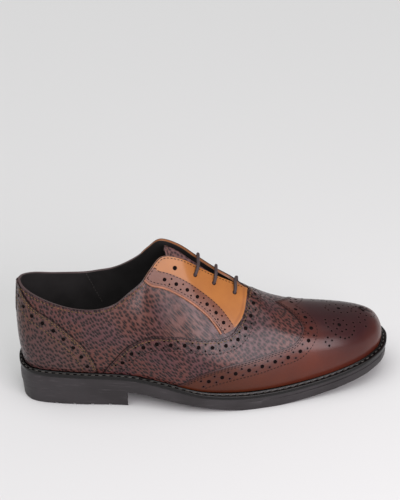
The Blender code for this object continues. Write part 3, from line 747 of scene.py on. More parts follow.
def punch(piece, holes, floor_slot):
    """Cut blind holes into a panel; their sides and floors take the slot's material."""
    builder = bmesh.new()
    for hole in holes:
        turn = hole.normal.to_track_quat("Z", "Y").to_matrix().to_4x4()
        middle = Matrix.Translation((0.0, 0.0, (PUNCH_ABOVE - hole.depth) / 2))
        bmesh.ops.create_cone(
            builder,
            cap_ends=True,
            cap_tris=False,
            segments=14 if hole.radius > SMALL_HOLE else 10,
            radius1=hole.radius * HOLE_TAPER,
            radius2=hole.radius * (2 - HOLE_TAPER),
            depth=PUNCH_ABOVE + hole.depth,
            matrix=Matrix.Translation(hole.point) @ turn @ middle,
        )
    # The holes' sides and floors take the near-black hole material: painted shade in the holes over
    # the dark backing leather.
    for face in builder.faces:
        face.material_index = floor_slot
    cut_away(piece, builder, 35)


def edge_points(edge, sides=SIDES, height=0.0):
    steps = LINE_STEPS * 2
    places = [(side, *edge_at(edge, step / steps)) for side in sides for step in range(steps + 1)]
    return [raised_point(*place, height) for place in places]


# Shader node groups


def add_node(tree, kind, inputs=None, **settings):
    """New shader node; inputs maps its sockets' names or numbers to values or sources."""
    made = tree.nodes.new(kind)
    for name, value in settings.items():
        setattr(made, name, value)
    for name, value in (inputs or {}).items():
        socket = made.inputs[name]
        if isinstance(value, bpy.types.NodeSocket):
            tree.links.new(value, socket)
        elif socket.type == "RGBA":
            socket.default_value = (*value, 1.0)
        else:
            socket.default_value = value
    return made


def start_group(name, inputs, outputs):
    """New node group with the named sockets, the inputs it takes and the outputs it gives."""
    group = bpy.data.node_groups.new(name, "ShaderNodeTree")
    for way, sockets in (("INPUT", inputs), ("OUTPUT", outputs)):
        for label in sockets:
            kind = "NodeSocketVector" if label == "Vector" else "NodeSocketFloat"
            group.interface.new_socket(label, in_out=way, socket_type=kind)
    taken = group.nodes.new("NodeGroupInput").outputs
    return group, taken, group.nodes.new("NodeGroupOutput").inputs


def math(tree, operation, first, second):
    return add_node(tree, "ShaderNodeMath", {0: first, 1: second}, operation=operation).outputs[0]


def smooth_range(tree, value, low, high, to_low=0.0, to_high=1.0):
    inputs = {"Value": value, "From Min": low, "From Max": high, "To Min": to_low, "To Max": to_high}
    made = add_node(tree, "ShaderNodeMapRange", inputs, interpolation_type="SMOOTHSTEP")
    return made.outputs["Result"]


def mix_colours(tree, mask, first, second):
    inputs = {0: mask, 6: first, 7: second}
    return add_node(tree, "ShaderNodeMix", inputs, data_type="RGBA").outputs[2]


def noise(tree, vector, scale, detail=2.0, output="Fac"):
    inputs = {"Vector": vector, "Scale": scale, "Detail": detail}
    return add_node(tree, "ShaderNodeTexNoise", inputs).outputs[output]


def stored(tree, name):
    """What mark_distance stored on the mesh under a name."""
    return add_node(tree, "ShaderNodeAttribute", attribute_name=name).outputs["Fac"]


def distance_to(tree, places, point):
    inputs = {0: places, 1: Vector(point) + SHIFT}
    made = add_node(tree, "ShaderNodeVectorMath", inputs, operation="DISTANCE")
    return made.outputs["Value"]


def mapped(tree, places, turn=0.0, scale=(1.0, 1.0, 1.0)):
    inputs = {"Vector": places, "Rotation": (0.0, 0.0, turn), "Scale": scale}
    return add_node(tree, "ShaderNodeMapping", inputs).outputs["Vector"]


def make_pebble_group():
    """Tumbled grain: dark pits between rounded ridges, with fine creases over them."""
    names = ("Vector", "Inner", "Outer")
    group, taken, given = start_group("pebble_grain", names, ("Pits", "Height"))
    vector = taken["Vector"]
    wander = noise(group, vector, 0.55, 2.0, "Color")
    inputs = {0: wander, 1: (0.6, 0.6, 0.0), 2: vector}
    shifted = add_node(group, "ShaderNodeVectorMath", inputs, operation="MULTIPLY_ADD").outputs[0]
    inputs = {"Vector": shifted, "Scale": 1.0, "Randomness": 0.7}
    cells = add_node(group, "ShaderNodeTexVoronoi", inputs, feature="F1", voronoi_dimensions="2D")
    distance = cells.outputs["Distance"]
    pits = smooth_range(group, distance, taken["Inner"], taken["Outer"], 1.0, 0.0)
    fine = math(group, "MULTIPLY", noise(group, vector, 3.5, 3.0), 0.3)
    group.links.new(pits, given["Pits"])
    ridges = math(group, "SUBTRACT", 1.0, pits)
    group.links.new(math(group, "ADD", ridges, fine), given["Height"])
    return group


def make_burnish_group():
    """Darkening near a panel's edges and around its holes."""
    group, taken, given = start_group("edge_burnish", ("Width", "Strength"), ("Mask",))
    edge_share = math(group, "DIVIDE", stored(group, "edge_mm"), taken["Width"])
    edge_mask = smooth_range(group, edge_share, 0.1, 1.0, 1.0, 0.0)
    hole_mask = smooth_range(group, stored(group, "hole_mm"), 1.4, 2.6, 0.75, 0.0)
    both = math(group, "MAXIMUM", edge_mask, hole_mask)
    group.links.new(math(group, "MULTIPLY", both, taken["Strength"]), given["Mask"])
    return group


PEBBLE = make_pebble_group()
BURNISH = make_burnish_group()


def use_group(tree, group, **values):
    """Outputs of a node group; its inputs have the values' names, capitalised."""
    inputs = {name.title(): value for name, value in values.items()}
    return add_node(tree, "ShaderNodeGroup", inputs, node_tree=group).outputs


# Materials


def start_material(name, roughness, coat=0.0, coat_roughness=0.2, specular=0.5):
    made = bpy.data.materials.new(name)
    made.use_nodes = True
    shader = made.node_tree.nodes["Principled BSDF"]
    shader.inputs["Roughness"].default_value = roughness
    shader.inputs["Coat Weight"].default_value = coat
    shader.inputs["Coat Roughness"].default_value = coat_roughness
    shader.inputs["Specular IOR Level"].default_value = specular
    return made, made.node_tree, shader


def add_bump(tree, shader, height, strength, distance):
    inputs = {"Height": height, "Strength": strength, "Distance": distance}
    bump = add_node(tree, "ShaderNodeBump", inputs)
    tree.links.new(bump.outputs["Normal"], shader.inputs["Normal"])


def object_places(tree):
    return add_node(tree, "ShaderNodeTexCoord").outputs["Object"]


GRAIN_SLANT = radians(-24)
GRAIN_SPACING = 2.7 * MM
GRAIN_ROUGHNESS = 0.36
CREASE_SLANT = radians(-38)
CREASE_CENTRE = (0.148, -0.040, 0.075)
CREASE_CORE = 16 * MM
CREASE_REACH = 42 * MM


def hide_places(tree, turn, spacing, stretch):
    """Places on the flat hide, turned, in grain cells."""
    flat = add_node(tree, "ShaderNodeUVMap", uv_map="UVMap").outputs["UV"]
    scale = (1 / spacing, 1 / (spacing * stretch), 1.0)
    return mapped(tree, mapped(tree, flat, turn), scale=scale)


def grained_leather(name, ridge, pit, warm, creased=False):
    """Pebble-grained leather, darker in its pits and warmer in patches."""
    made, tree, shader = start_material(name, GRAIN_ROUGHNESS, 0.42, 0.22, specular=0.15)
    places = object_places(tree)
    vector = hide_places(tree, GRAIN_SLANT, GRAIN_SPACING, 1.4)
    grain = use_group(tree, PEBBLE, vector=vector, inner=0.06, outer=0.60)
    pits, height = grain["Pits"], grain["Height"]
    if creased:
        vector = hide_places(tree, CREASE_SLANT, GRAIN_SPACING * 0.85, 3.2)
        creases = use_group(tree, PEBBLE, vector=vector, inner=0.0, outer=0.62)
        away = distance_to(tree, places, CREASE_CENTRE)
        mask = smooth_range(tree, away, CREASE_CORE, CREASE_REACH, 1.0, 0.0)
        pits = blend_values(tree, mask, pits, creases["Pits"])
        height = blend_values(tree, mask, height, creases["Height"])
    patches = smooth_range(tree, noise(tree, places, 28.0), 0.38, 0.62)
    colour = mix_colours(tree, pits, mix_colours(tree, patches, ridge, warm), pit)
    burnish = use_group(tree, BURNISH, width=1.5, strength=0.55)
    colour = mix_colours(tree, burnish["Mask"], colour, pit)
    tree.links.new(colour, shader.inputs["Base Color"])
    rough = math(tree, "ADD", math(tree, "MULTIPLY", pits, 0.3), GRAIN_ROUGHNESS)
    tree.links.new(rough, shader.inputs["Roughness"])
    add_bump(tree, shader, height, 1.0, 0.7 * MM)
    return made


def blend_values(tree, mask, first, second):
    inputs = {0: mask, 2: first, 3: second}
    return add_node(tree, "ShaderNodeMix", inputs, data_type="FLOAT").outputs[0]


def smooth_leather_surface(tree, shader, colour, edge_colour, width, strength):
    """Mottling, burnished edges and fine pores, shared by the smooth leathers."""
    places = object_places(tree)
    mottle = smooth_range(tree, noise(tree, places, 70.0, 4.0), 0.3, 0.75)
    colour = mix_colours(tree, math(tree, "MULTIPLY", mottle, 0.22), colour, edge_colour)
    burnish = use_group(tree, BURNISH, width=width, strength=strength)
    colour = mix_colours(tree, burnish["Mask"], colour, edge_colour)
    tree.links.new(colour, shader.inputs["Base Color"])
    add_bump(tree, shader, noise(tree, places, 1400.0, 4.0), 0.12, 0.25 * MM)


def facing_leather():
    """Orange-tan leather, redder on the punched strip along its low edge."""
    made, tree, shader = start_material("facing_leather", 0.4, coat=0.28, specular=0.15)
    mask = smooth_range(tree, stored(tree, "strip_mm"), 12.0, 13.6, 1.0, 0.0)
    colour = mix_colours(tree, mask, (0.33, 0.122, 0.030), (0.125, 0.046, 0.028))
    smooth_leather_surface(tree, shader, colour, (0.16, 0.045, 0.018), 2.0, 0.35)
    return made


CAP_PLUM_CENTRE = (0.262, 0.004, 0.050)
CAP_COLOUR_REACH = 0.13
CAP_COLOURS = (
    (0.10, (0.018, 0.004, 0.005)),
    (0.28, (0.026, 0.005, 0.006)),
    (0.46, (0.090, 0.017, 0.008)),
    (0.95, (0.060, 0.012, 0.003)),
)


def cap_leather():
    """Burnished leather: deep plum on the toe, red-brown, then orange-brown behind."""
    made, tree, shader = start_material("cap_leather", 0.4, 0.48, 0.24, specular=0.1)
    places = object_places(tree)
    wander = math(tree, "MULTIPLY", noise(tree, places, 22.0), 0.02)
    reach = math(tree, "ADD", distance_to(tree, places, CAP_PLUM_CENTRE), wander)
    share = math(tree, "DIVIDE", reach, CAP_COLOUR_REACH)
    ramp = add_node(tree, "ShaderNodeValToRGB", {"Fac": share})
    stops = ramp.color_ramp.elements
    for index, (position, colour) in enumerate(CAP_COLOURS):
        stop = stops[index] if index < 1 else stops.new(position)
        stop.position = position
        stop.color = (*colour, 1.0)
    stops.remove(stops[-1])
    smooth_leather_surface(tree, shader, ramp.outputs["Color"], (0.03, 0.008, 0.008), 3.2, 0.75)
    return made


CLOUD_SHADE = 0.65


def plain_surface(name, colour, roughness, scale=900.0, bump=0.2, distance=0.2 * MM, **more):
    """One colour with fine mottling and a fine bump, for the small and dark pieces."""
    made, tree, shader = start_material(name, roughness, **more)
    places = object_places(tree)
    clouds = smooth_range(tree, noise(tree, places, 60.0, 3.0), 0.3, 0.7)
    darker = tuple(value * CLOUD_SHADE for value in colour)
    tree.links.new(mix_colours(tree, clouds, colour, darker), shader.inputs["Base Color"])
    add_bump(tree, shader, noise(tree, places, scale, 4.0), bump, distance)
    return made


def sole_rubber():
    """Satin charcoal rubber with long fine scuffs along the side."""
    made, tree, shader = start_material("sole_rubber", 0.5, specular=0.4)
    places = object_places(tree)
    scuffs = noise(tree, mapped(tree, places, scale=(14.0, 60.0, 420.0)), 3.0, 4.0)
    clouds = smooth_range(tree, noise(tree, places, 35.0), 0.3, 0.7)
    colour = mix_colours(tree, clouds, (0.017, 0.014, 0.015), (0.027, 0.023, 0.025))
    marks = smooth_range(tree, scuffs, 0.60, 0.74, 0.0, 0.35)
    colour = mix_colours(tree, marks, colour, (0.15, 0.13, 0.14))
    tree.links.new(colour, shader.inputs["Base Color"])
    tree.links.new(smooth_range(tree, scuffs, 0.3, 0.7, 0.42, 0.6), shader.inputs["Roughness"])
    add_bump(tree, shader, noise(tree, places, 1600.0, 3.0), 0.25, 0.15 * MM)
    return made


QUARTER = grained_leather(
    "quarter_leather", (0.074, 0.028, 0.030), (0.0045, 0.002, 0.0025), (0.092, 0.030, 0.022), True
)
VAMP = grained_leather(
    "vamp_leather", (0.068, 0.023, 0.025), (0.0045, 0.002, 0.002), (0.084, 0.025, 0.020)
)
COUNTER = grained_leather(
    "counter_leather", (0.074, 0.033, 0.032), (0.006, 0.003, 0.003), (0.086, 0.034, 0.027)
)
TONGUE = grained_leather(
    "tongue_leather", (0.150, 0.068, 0.072), (0.025, 0.012, 0.014), (0.160, 0.072, 0.060)
)
FACING = facing_leather()
CAP = cap_leather()
EDGE_DYE = plain_surface("edge_dye", (0.014, 0.006, 0.006), 0.5, specular=0.2)
# Near-black matte for the sides and floors of the punched holes: the dark backing leather, darkened
# further as painted shade in the holes.
HOLE_BACKING_SHADE = plain_surface("hole_backing_and_shade", (0.006, 0.003, 0.003), 0.9, specular=0.1)
LINING = plain_surface("black_lining", (0.022, 0.020, 0.020), 0.5, bump=0.3)
TOPLINE = plain_surface("topline_edge", (0.060, 0.032, 0.032), 0.4, coat=0.2)
THROAT_EDGE = plain_surface("throat_edge", (0.22, 0.075, 0.022), 0.4)
INSOLE = plain_surface("insole_leather", (0.014, 0.012, 0.012), 0.5, bump=0.3)
BEADING = plain_surface("facing_beading", (0.30, 0.095, 0.035), 0.35, coat=0.4)
WELT = plain_surface("welt_leather", (0.004, 0.003, 0.003), 0.26, coat=0.15, specular=0.25)
RUBBER = sole_rubber()
DARK_THREAD = plain_surface("dark_thread", (0.008, 0.004, 0.003), 0.7, specular=0.15)
OLIVE_THREAD = plain_surface("olive_thread", (0.14, 0.075, 0.016), 0.6)
GREY_THREAD = plain_surface("welt_thread", (0.080, 0.074, 0.068), 0.7, specular=0.2)
LACE_CORD = plain_surface("lace_cord", (0.050, 0.028, 0.030), 0.6, 1300.0, 0.8, 0.5 * MM)


# Upper, panels and their pattern

UPPER_COLUMNS = 200
UPPER_ROWS = 44
LINING_SLOT, TOPLINE_SLOT, THROAT_SLOT = 1, 2, 3
RIM_SLOT, FLOOR_SLOT = 1, 2


def make_upper():
    """Quarters and, under the panels, the rest of the upper, with a black lining."""

    def place(along, rise):
        return along * LAST_RIB, rise

    builder = skin_panel(place, 0.0, UPPER_COLUMNS, UPPER_ROWS, SIDES)
    surfaces = (QUARTER, LINING, TOPLINE, THROAT_EDGE)
    piece = add_piece("quarters", builder, surfaces, ("upper",))
    give_wall(piece, UPPER_WALL, LINING_SLOT, TOPLINE_SLOT)
    round_rims(piece, TOPLINE_ROUND, 3)
    mesh = settle(piece, sharp_angle=60)
    tail = upper_point(LATERAL, FACING_LOW_EDGE[0].rib, 1.0).x
    for face in mesh.polygons:
        if face.material_index == TOPLINE_SLOT and face.center.x > tail:
            face.material_index = THROAT_SLOT
    steps = range(THROAT_RIB * 20 + 1)
    edges = [upper_point(side, step / 20, 1.0) for side in SIDES for step in steps]
    steps = range(LAST_RIB * 8 + 1)
    edges += [upper_point(side, step / 8, 0.0) for side in SIDES for step in steps]
    edges += edge_points(SWAN_NECK_EDGE) + edge_points(COUNTER_EDGE)
    mark_distance(mesh, "edge_mm", edges)
    mark_distance(mesh, "hole_mm", [])
    move_to_row(piece)


def make_panel(name, place, height, grid, leather, edges, nodes=(), holes=(), sides=SIDES):
    """Leather panel on the upper, with dyed edges and punched holes.

    grid: its columns and rows; edges: the panel edges along which it is burnished."""
    rim = EDGE_DYE if holes else leather
    builder = skin_panel(place, height, *grid, sides)
    piece = add_piece(name, builder, (leather, rim, HOLE_BACKING_SHADE), nodes)
    give_wall(piece, height - SEAT, RIM_SLOT, RIM_SLOT)
    round_rims(piece, EDGE_ROUND)
    if holes:
        punch(piece, holes, FLOOR_SLOT)
    else:
        settle(piece, sharp_angle=35)
    burnished = [point for edge in edges for point in edge_points(edge, sides, height)]
    mark_distance(piece.data, "edge_mm", burnished)
    mark_distance(piece.data, "hole_mm", [hole.point for hole in holes])
    mark_distance(piece.data, "strip_mm", edge_points(FACING_LOW_EDGE, height=FACING_HEIGHT))
    move_to_row(piece)


# A place in each panel, as (rib, up), that tells which side of an edge it lies on
INSIDE_CAP = (20.0, 0.5)
INSIDE_VAMP = (12.0, 0.12)
INSIDE_COUNTER = (1.5, 0.3)
INSIDE_FACING = (12.5, 0.85)
INSIDE_QUARTER = (5.0, 0.5)


def ridge_holes(edge, inward, toward, height, start):
    """Holes beside a panel's edge on both sides, from the ridge down to the welt."""
    holes = []
    for side in SIDES:
        line = ridge_line(side, edge, inward, toward, 0.06)
        holes += brogue_line(line[::-1], height, HOLE_PITCH, start=start)
    return holes


def cap_holes():
    return ridge_holes(WING_EDGE, CAP_HOLE_LINE, INSIDE_CAP, CAP_HEIGHT, 0.75) + medallion_holes()


def counter_holes():
    holes = []
    for side in SIDES:
        line = line_beside(side, COUNTER_EDGE, COUNTER_HOLE_LINE, INSIDE_COUNTER)
        line = [spot for spot in line if spot.rib > 0.35 and 0.04 < spot.up < 0.93]
        holes += brogue_line(line, COUNTER_HEIGHT, COUNTER_HOLE_PITCH, half_gap=0)
    return holes


STRIP_WIDTH = 12.6 * MM
# Places on the vamp's edge that a spot on the facing is compared with
VAMP_CHECKS = 59
VAMP_CHECK_START = 0.55
VAMP_NEAR = 9.0 * MM
SAME_LEVEL = 0.04


def outside_vamp(spot, clearance):
    """True where a spot on the facing isn't covered by the vamp's edge."""
    along, _ = surface_slopes(*spot)
    for step in range(VAMP_CHECKS + 1):
        place = edge_at(SWAN_NECK_EDGE, VAMP_CHECK_START + (1 - VAMP_CHECK_START) * step / VAMP_CHECKS)
        gap = upper_point(spot.side, *place) - upper_point(*spot)
        behind = gap.length < VAMP_NEAR and gap.dot(along) < 0
        if gap.length < clearance or behind and abs(place[1] - spot.up) < SAME_LEVEL:
            return False
    return True


EYELET_DEPTH = 0.8 * MM
EYELETS = [(11.63, 0.910), (12.70, 0.908), (13.72, 0.905), (14.81, 0.874)]


def facing_holes(side):
    line = line_beside(side, FACING_LOW_EDGE, STRIP_WIDTH * 0.57, INSIDE_FACING)
    line = [spot for spot in line if spot.up < 0.95 and outside_vamp(spot, 3.0 * MM)]
    holes = brogue_line(line, FACING_HEIGHT, STRIP_HOLE_PITCH, 1.15, 0.15, STRIP_HALF_GAP)
    for rib, up in EYELETS:
        point = raised_point(side, rib, up, FACING_HEIGHT)
        holes.append(Hole(point, upper_normal(side, rib, up), EYELET_HOLE, EYELET_DEPTH))
    return holes


# Medallion on the toe, seen from above: its first big hole and the turn of its axis
MEDALLION_AT = Vector((265.2 * MM, 4.0 * MM))
MEDALLION_TURN = radians(9.4)
MIDDLE_HOLE = 1.04 * MM
# Places on the medallion, in millimetres along and across its axis
FRONT_OVAL_AT = (21.5, 0.0)
LOBE_AT = (-6.3, 19.6)
SIDE_MARKS = [(14.2, 10.0), (19.0, 11.6), (13.4, 15.2), (17.8, 17.0)]
# From the lobe's middle
TAIL_MARKS = [(-12.6, 8.4), (-9.4, 9.6), (-15.0, 10.4)]
TAIL_END = (-12.2, 11.6)


def surface_below(x, y):
    """(side, rib, up) of the surface over a place seen from above."""
    best = None
    for side in SIDES:
        rib, up = 20.5, 0.8
        for _ in range(25):
            gap = Vector((x, y, 0.0)) - upper_point(side, rib, up)
            along, rise = surface_slopes(side, rib, up)
            divisor = along.x * rise.y - along.y * rise.x
            rib += 0.7 * (gap.x * rise.y - gap.y * rise.x) / divisor
            up += 0.7 * (along.x * gap.y - along.y * gap.x) / divisor
            rib = min(max(rib, 16.0), 21.9)
            up = min(max(up, 0.05), 1.0)
        gap = Vector((x, y, 0.0)) - upper_point(side, rib, up)
        miss = gap.xy.length
        if best is None or miss < best[0]:
            best = (miss, side, rib, up)
    return best[1:]


def medallion_hole(along, across, radius):
    """Hole at a place (millimetres) along and across the medallion's axis."""
    axis = Vector((cos(MEDALLION_TURN), sin(MEDALLION_TURN)))
    aside = Vector((-sin(MEDALLION_TURN), cos(MEDALLION_TURN)))
    spot = MEDALLION_AT + axis * along * MM + aside * across * MM
    side, rib, up = surface_below(spot.x, spot.y)
    point = raised_point(side, rib, up, CAP_HEIGHT)
    return Hole(point, upper_normal(side, rib, up), radius, HOLE_DEPTH)


def arc_places(along, across, reach, first, last, count, squeeze=1.0):
    """Places on an arc, by its centre, its radius along the axis and its end angles."""
    places = []
    for step in range(count):
        angle = radians(first + (last - first) * step / (count - 1))
        places.append((along + reach * cos(angle), across + reach * squeeze * sin(angle)))
    return places


def medallion_holes():
    """Two ovals on the toe's middle line, and a lobe with a tail on each side."""
    lobe_along, lobe_across = LOBE_AT
    small = arc_places(0.0, 0.0, 11.6, 0, 330, 12, squeeze=0.56)
    small += arc_places(22.0, 0.0, 9.2, -150, 150, 11, squeeze=0.68)
    marks = arc_places(lobe_along + 0.9, lobe_across - 0.5, 5.7, 0, 315, 8, squeeze=0.9)
    marks += arc_places(lobe_along + 1.1, lobe_across - 1.6, 12.2, -8, 195, 12, squeeze=0.8)
    marks += SIDE_MARKS
    marks += [(lobe_along + along, lobe_across + across) for along, across in TAIL_MARKS]
    tail_end = (lobe_along + TAIL_END[0], lobe_across + TAIL_END[1])
    middle = []
    for way in (-1, 1):
        middle.append((tail_end[0], way * tail_end[1]))
        small += [(along, way * across) for along, across in marks]
    big = [(0.0, 0.0), FRONT_OVAL_AT, (lobe_along, -lobe_across), LOBE_AT]
    sizes = ((big, BIG_HOLE), (middle, MIDDLE_HOLE), (small, SMALL_HOLE))
    return [medallion_hole(*place, radius) for places, radius in sizes for place in places]


def make_cap():
    place = between_edges(WING_EDGE, TOE_RIB_EDGE, crowd=1.25)
    make_panel(
        "wing_tip", place, CAP_HEIGHT, (110, 56), CAP, (WING_EDGE,),
        ("wing_cap",), cap_holes(),
    )


def make_vamp():
    place = between_edges(SWAN_NECK_EDGE, WING_EDGE, end_shift=CAP_OVERLAP, lag=1.9)
    holes = ridge_holes(SWAN_NECK_EDGE, VAMP_HOLE_LINE, INSIDE_VAMP, VAMP_HEIGHT, 0.4)
    make_panel(
        "swan_neck_vamp", place, VAMP_HEIGHT, (80, 60), VAMP, (SWAN_NECK_EDGE, WING_EDGE),
        ("vamp_panel",), holes,
    )


def make_counter():
    place = between_edges(BACK_RIB_EDGE, COUNTER_EDGE)
    make_panel(
        "heel_counter", place, COUNTER_HEIGHT, (60, 50), COUNTER, (COUNTER_EDGE,),
        ("counter_patch",), counter_holes(),
    )


def make_facing(side, name):
    edges = (FACING_LOW_EDGE, FACING_FRONT_EDGE)
    make_panel(
        name + "_leather", facing_place, FACING_HEIGHT, (90, 40), FACING, edges,
        (name,), facing_holes(side), (side,),
    )


def make_back_strip():
    """Short strip that covers the back seam under the topline."""
    place = between_edges(BACK_STRIP_MIDDLE, BACK_STRIP_EDGE)
    make_panel(
        "back_strip", place, BACK_STRIP_HEIGHT, (8, 30), COUNTER, (BACK_STRIP_EDGE,),
    )


# The lining's seam by its ribs; the other seams by their distance from an edge
LINING_SEAM = (5.0, 5.8)
CAP_SEAMS = (1.3 * MM, 2.7 * MM, 12.6 * MM)
VAMP_SEAMS = (1.2 * MM, 2.6 * MM, 11.4 * MM)
COUNTER_SEAMS = (1.2 * MM, 2.6 * MM, 11.0 * MM)
STRIP_SEAMS = (3.1 * MM, STRIP_WIDTH)
THROAT_SEAM = 1.7 * MM
COLLAR_SEAM = 2.3 * MM
CLEAR_SEAM = 0.8 * MM


def sew(thread, line, height):
    add_stitches(thread, walk(line, STITCH_PITCH, height))


def make_stitching():
    """Rows of stitches: dark on the smooth leathers, olive on the grained ones."""
    dark = bmesh.new()
    olive = bmesh.new()
    grey = bmesh.new()
    first, last = LINING_SEAM
    for side in SIDES:
        shares = [step / 20 for step in range(21)]
        seam = [Spot(side, first + (last - first) * t, 0.985 - 0.5 * t) for t in shares]
        sew(grey, seam, -UPPER_WALL)
        for inward in CAP_SEAMS:
            sew(dark, ridge_line(side, WING_EDGE, inward, INSIDE_CAP), CAP_HEIGHT)
        for inward, thread in zip(VAMP_SEAMS, (dark, olive, dark)):
            sew(thread, ridge_line(side, SWAN_NECK_EDGE, inward, INSIDE_VAMP), VAMP_HEIGHT)
        for inward in COUNTER_SEAMS:
            line = line_beside(side, COUNTER_EDGE, inward, INSIDE_COUNTER)
            line = [spot for spot in line if spot.rib > 0.2 and ABOVE_FOOT < spot.up < 0.96]
            sew(olive, line, COUNTER_HEIGHT)
        for inward in STRIP_SEAMS:
            line = line_beside(side, FACING_LOW_EDGE, inward, INSIDE_FACING)
            line = [spot for spot in line if spot.up < 0.975 and outside_vamp(spot, CLEAR_SEAM)]
            sew(dark, line, FACING_HEIGHT)
        throat = line_beside(side, THROAT_TOPLINE, THROAT_SEAM, INSIDE_FACING)
        sew(dark, [spot for spot in throat if outside_vamp(spot, CLEAR_SEAM)], FACING_HEIGHT)
        collar = line_beside(side, COLLAR_TOPLINE, COLLAR_SEAM, INSIDE_QUARTER)
        sew(olive, collar, COUNTER_HEIGHT * 0.2)
    for name, builder, surface in (
        ("dark_stitches", dark, DARK_THREAD),
        ("olive_stitches", olive, OLIVE_THREAD),
        ("lining_stitches", grey, GREY_THREAD),
    ):
        move_to_row(add_piece(name, builder, (surface,)))


# Beading, tongue and laces


def round_cord(name, points, radius, surface, smooth_path, nodes=()):
    """Round cord along points: a curve given a thickness and then made a mesh."""
    data = bpy.data.curves.new(name + "_line", "CURVE")
    data.dimensions = "3D"
    data.resolution_u = 6
    data.bevel_depth = radius
    data.bevel_resolution = 3
    data.use_fill_caps = True
    spline = data.splines.new("BEZIER" if smooth_path else "POLY")
    line = spline.bezier_points if smooth_path else spline.points
    line.add(len(points) - 1)
    for spot, point in zip(line, points):
        spot.co = point if smooth_path else (*point, 1.0)
        if smooth_path:
            spot.handle_left_type = "AUTO"
            spot.handle_right_type = "AUTO"
    drawn = add_object(name + "_line", data)
    shapes = bpy.context.evaluated_depsgraph_get()
    shapes.update()
    mesh = bpy.data.meshes.new_from_object(drawn.evaluated_get(shapes))
    bpy.data.objects.remove(drawn, do_unlink=True)
    builder = bmesh.new()
    builder.from_mesh(mesh)
    bpy.data.meshes.remove(mesh)
    merge_seams(builder)
    move_to_row(add_piece(name, builder, (surface,), nodes))


def make_beading():
    """Thin folded beading along the low edge of each facing."""
    for side, name in ((LATERAL, "beading_lateral"), (MEDIAL, "beading_medial")):
        line = line_beside(side, FACING_LOW_EDGE, 0.35 * MM, INSIDE_FACING)
        line = [spot for spot in line if spot.up < 0.99 and outside_vamp(spot, 0.3 * MM)]
        points = [spot_point(spot, FACING_HEIGHT * 0.62) for spot in line]
        round_cord(name, points, 0.95 * MM, BEADING, False)


TONGUE_DEPTH = 5.0 * MM
TONGUE_WALL = 1.6 * MM
TONGUE_RIBS = (16.7, 11.55)
TONGUE_CLIMB = 4.5 * MM
TONGUE_BEND = 0.86
TONGUE_NARROWING = 0.42
TONGUE_CROWN = 0.10
TONGUE_LIFT = 0.4 * MM
TONGUE_SEAM = 0.90
TONGUE_HIDE = (60 * MM, 90 * MM)
TONGUE_WIDTHS = (0.60, 0.68, 0.76, 0.84, 0.92, 0.98)
TONGUE_MIDDLE = len(TONGUE_WIDTHS)
Corner = namedtuple("Corner", "x y z")


def tongue_curve(rib):
    """Points across the tongue at one rib, from the outer to the inner side."""
    left, right = (
        [raised_point(side, rib, up, -TONGUE_DEPTH) for up in TONGUE_WIDTHS] for side in SIDES
    )
    middle = (left[-1] + right[-1]) / 2
    middle.z += (right[-1] - left[-1]).length * TONGUE_CROWN + TONGUE_LIFT
    return left + [middle] + right[::-1]


def make_tongue():
    first, last = TONGUE_RIBS
    end = tongue_curve(last)
    top = end[TONGUE_MIDDLE]
    rise = (top - tongue_curve(last + 0.6)[TONGUE_MIDDLE]).normalized()

    def place(across, along):
        lift = Vector((0.0, 0.0, 0.0))
        if along < TONGUE_BEND:
            points = tongue_curve(first + (last - first) * along / TONGUE_BEND)
        else:
            climb = (along - TONGUE_BEND) / (1 - TONGUE_BEND)
            points = [top + (point - top) * (1.0 - TONGUE_NARROWING * climb**2.5) for point in end]
            lift = rise * TONGUE_CLIMB * sin(climb * pi / 2)
        return Vector(curve_rows([Corner(*point) for point in points], across)) + lift

    def flat(across, along):
        return across * TONGUE_HIDE[0], along * TONGUE_HIDE[1]

    builder = bmesh.new()
    shaped_grid(builder, 36, 70, place, flat=flat)
    piece = add_piece("grained_tongue", builder, (TONGUE, LINING), ("tongue",))
    give_wall(piece, TONGUE_WALL, LINING_SLOT)
    round_rims(piece, 0.5 * MM)
    mesh = settle(piece, sharp_angle=60)
    mark_distance(mesh, "edge_mm", [])
    mark_distance(mesh, "hole_mm", [])
    move_to_row(piece)
    stitches = bmesh.new()
    stops = []
    for step in range(13):
        across = 0.08 + 0.84 * step / 12
        point = place(across, TONGUE_SEAM)
        along = (place(across + 0.02, TONGUE_SEAM) - point).normalized()
        normal = along.cross(place(across, TONGUE_SEAM + 0.02) - point).normalized()
        stops.append(Stop(point, -normal if normal.z < 0 else normal, along))
    add_stitches(stitches, stops)
    move_to_row(add_piece("tongue_stitches", stitches, (OLIVE_THREAD,)))


LACE_RADIUS = 1.35 * MM
LACE_SINK = 3.4 * MM
LACE_CROWN = 0.8 * MM
LACE_EYELETS = EYELETS[1:]
LACE_LEANS = (0.45, 0.42, 0.5)


def lace_bar(rib, up, medial_lean):
    """Points of one bar, from the outer eyelet over the throat and into the inner one."""
    ends = []
    for side, lean, back in ((LATERAL, 0.0, 0.4), (MEDIAL, medial_lean, -0.3)):
        rib_here = rib + lean
        normal = upper_normal(side, rib_here, up)
        eyelet = raised_point(side, rib_here, up, FACING_HEIGHT)
        on = rib_here + medial_lean * back * 0.4
        over = raised_point(side, on, min(up + 0.035, 0.99), FACING_HEIGHT + LACE_RADIUS)
        on = rib_here + medial_lean * back
        edge = raised_point(side, on, 1.0, FACING_HEIGHT + LACE_RADIUS * 1.1)
        ends.append([eyelet - normal * LACE_SINK, eyelet - normal * 0.6 * MM, over, edge])
    middle = (ends[0][-1] + ends[1][-1]) / 2
    middle.z += LACE_CROWN
    return ends[0] + [middle] + ends[1][::-1]


def lace_run(side, start, end, lean):
    points = []
    for share in (0.25, 0.5, 0.75):
        rib = start[0] + (end[0] - start[0]) * share + lean
        up = start[1] + (end[1] - start[1]) * share
        points.append(raised_point(side, rib, up, -LACE_SINK))
    return points


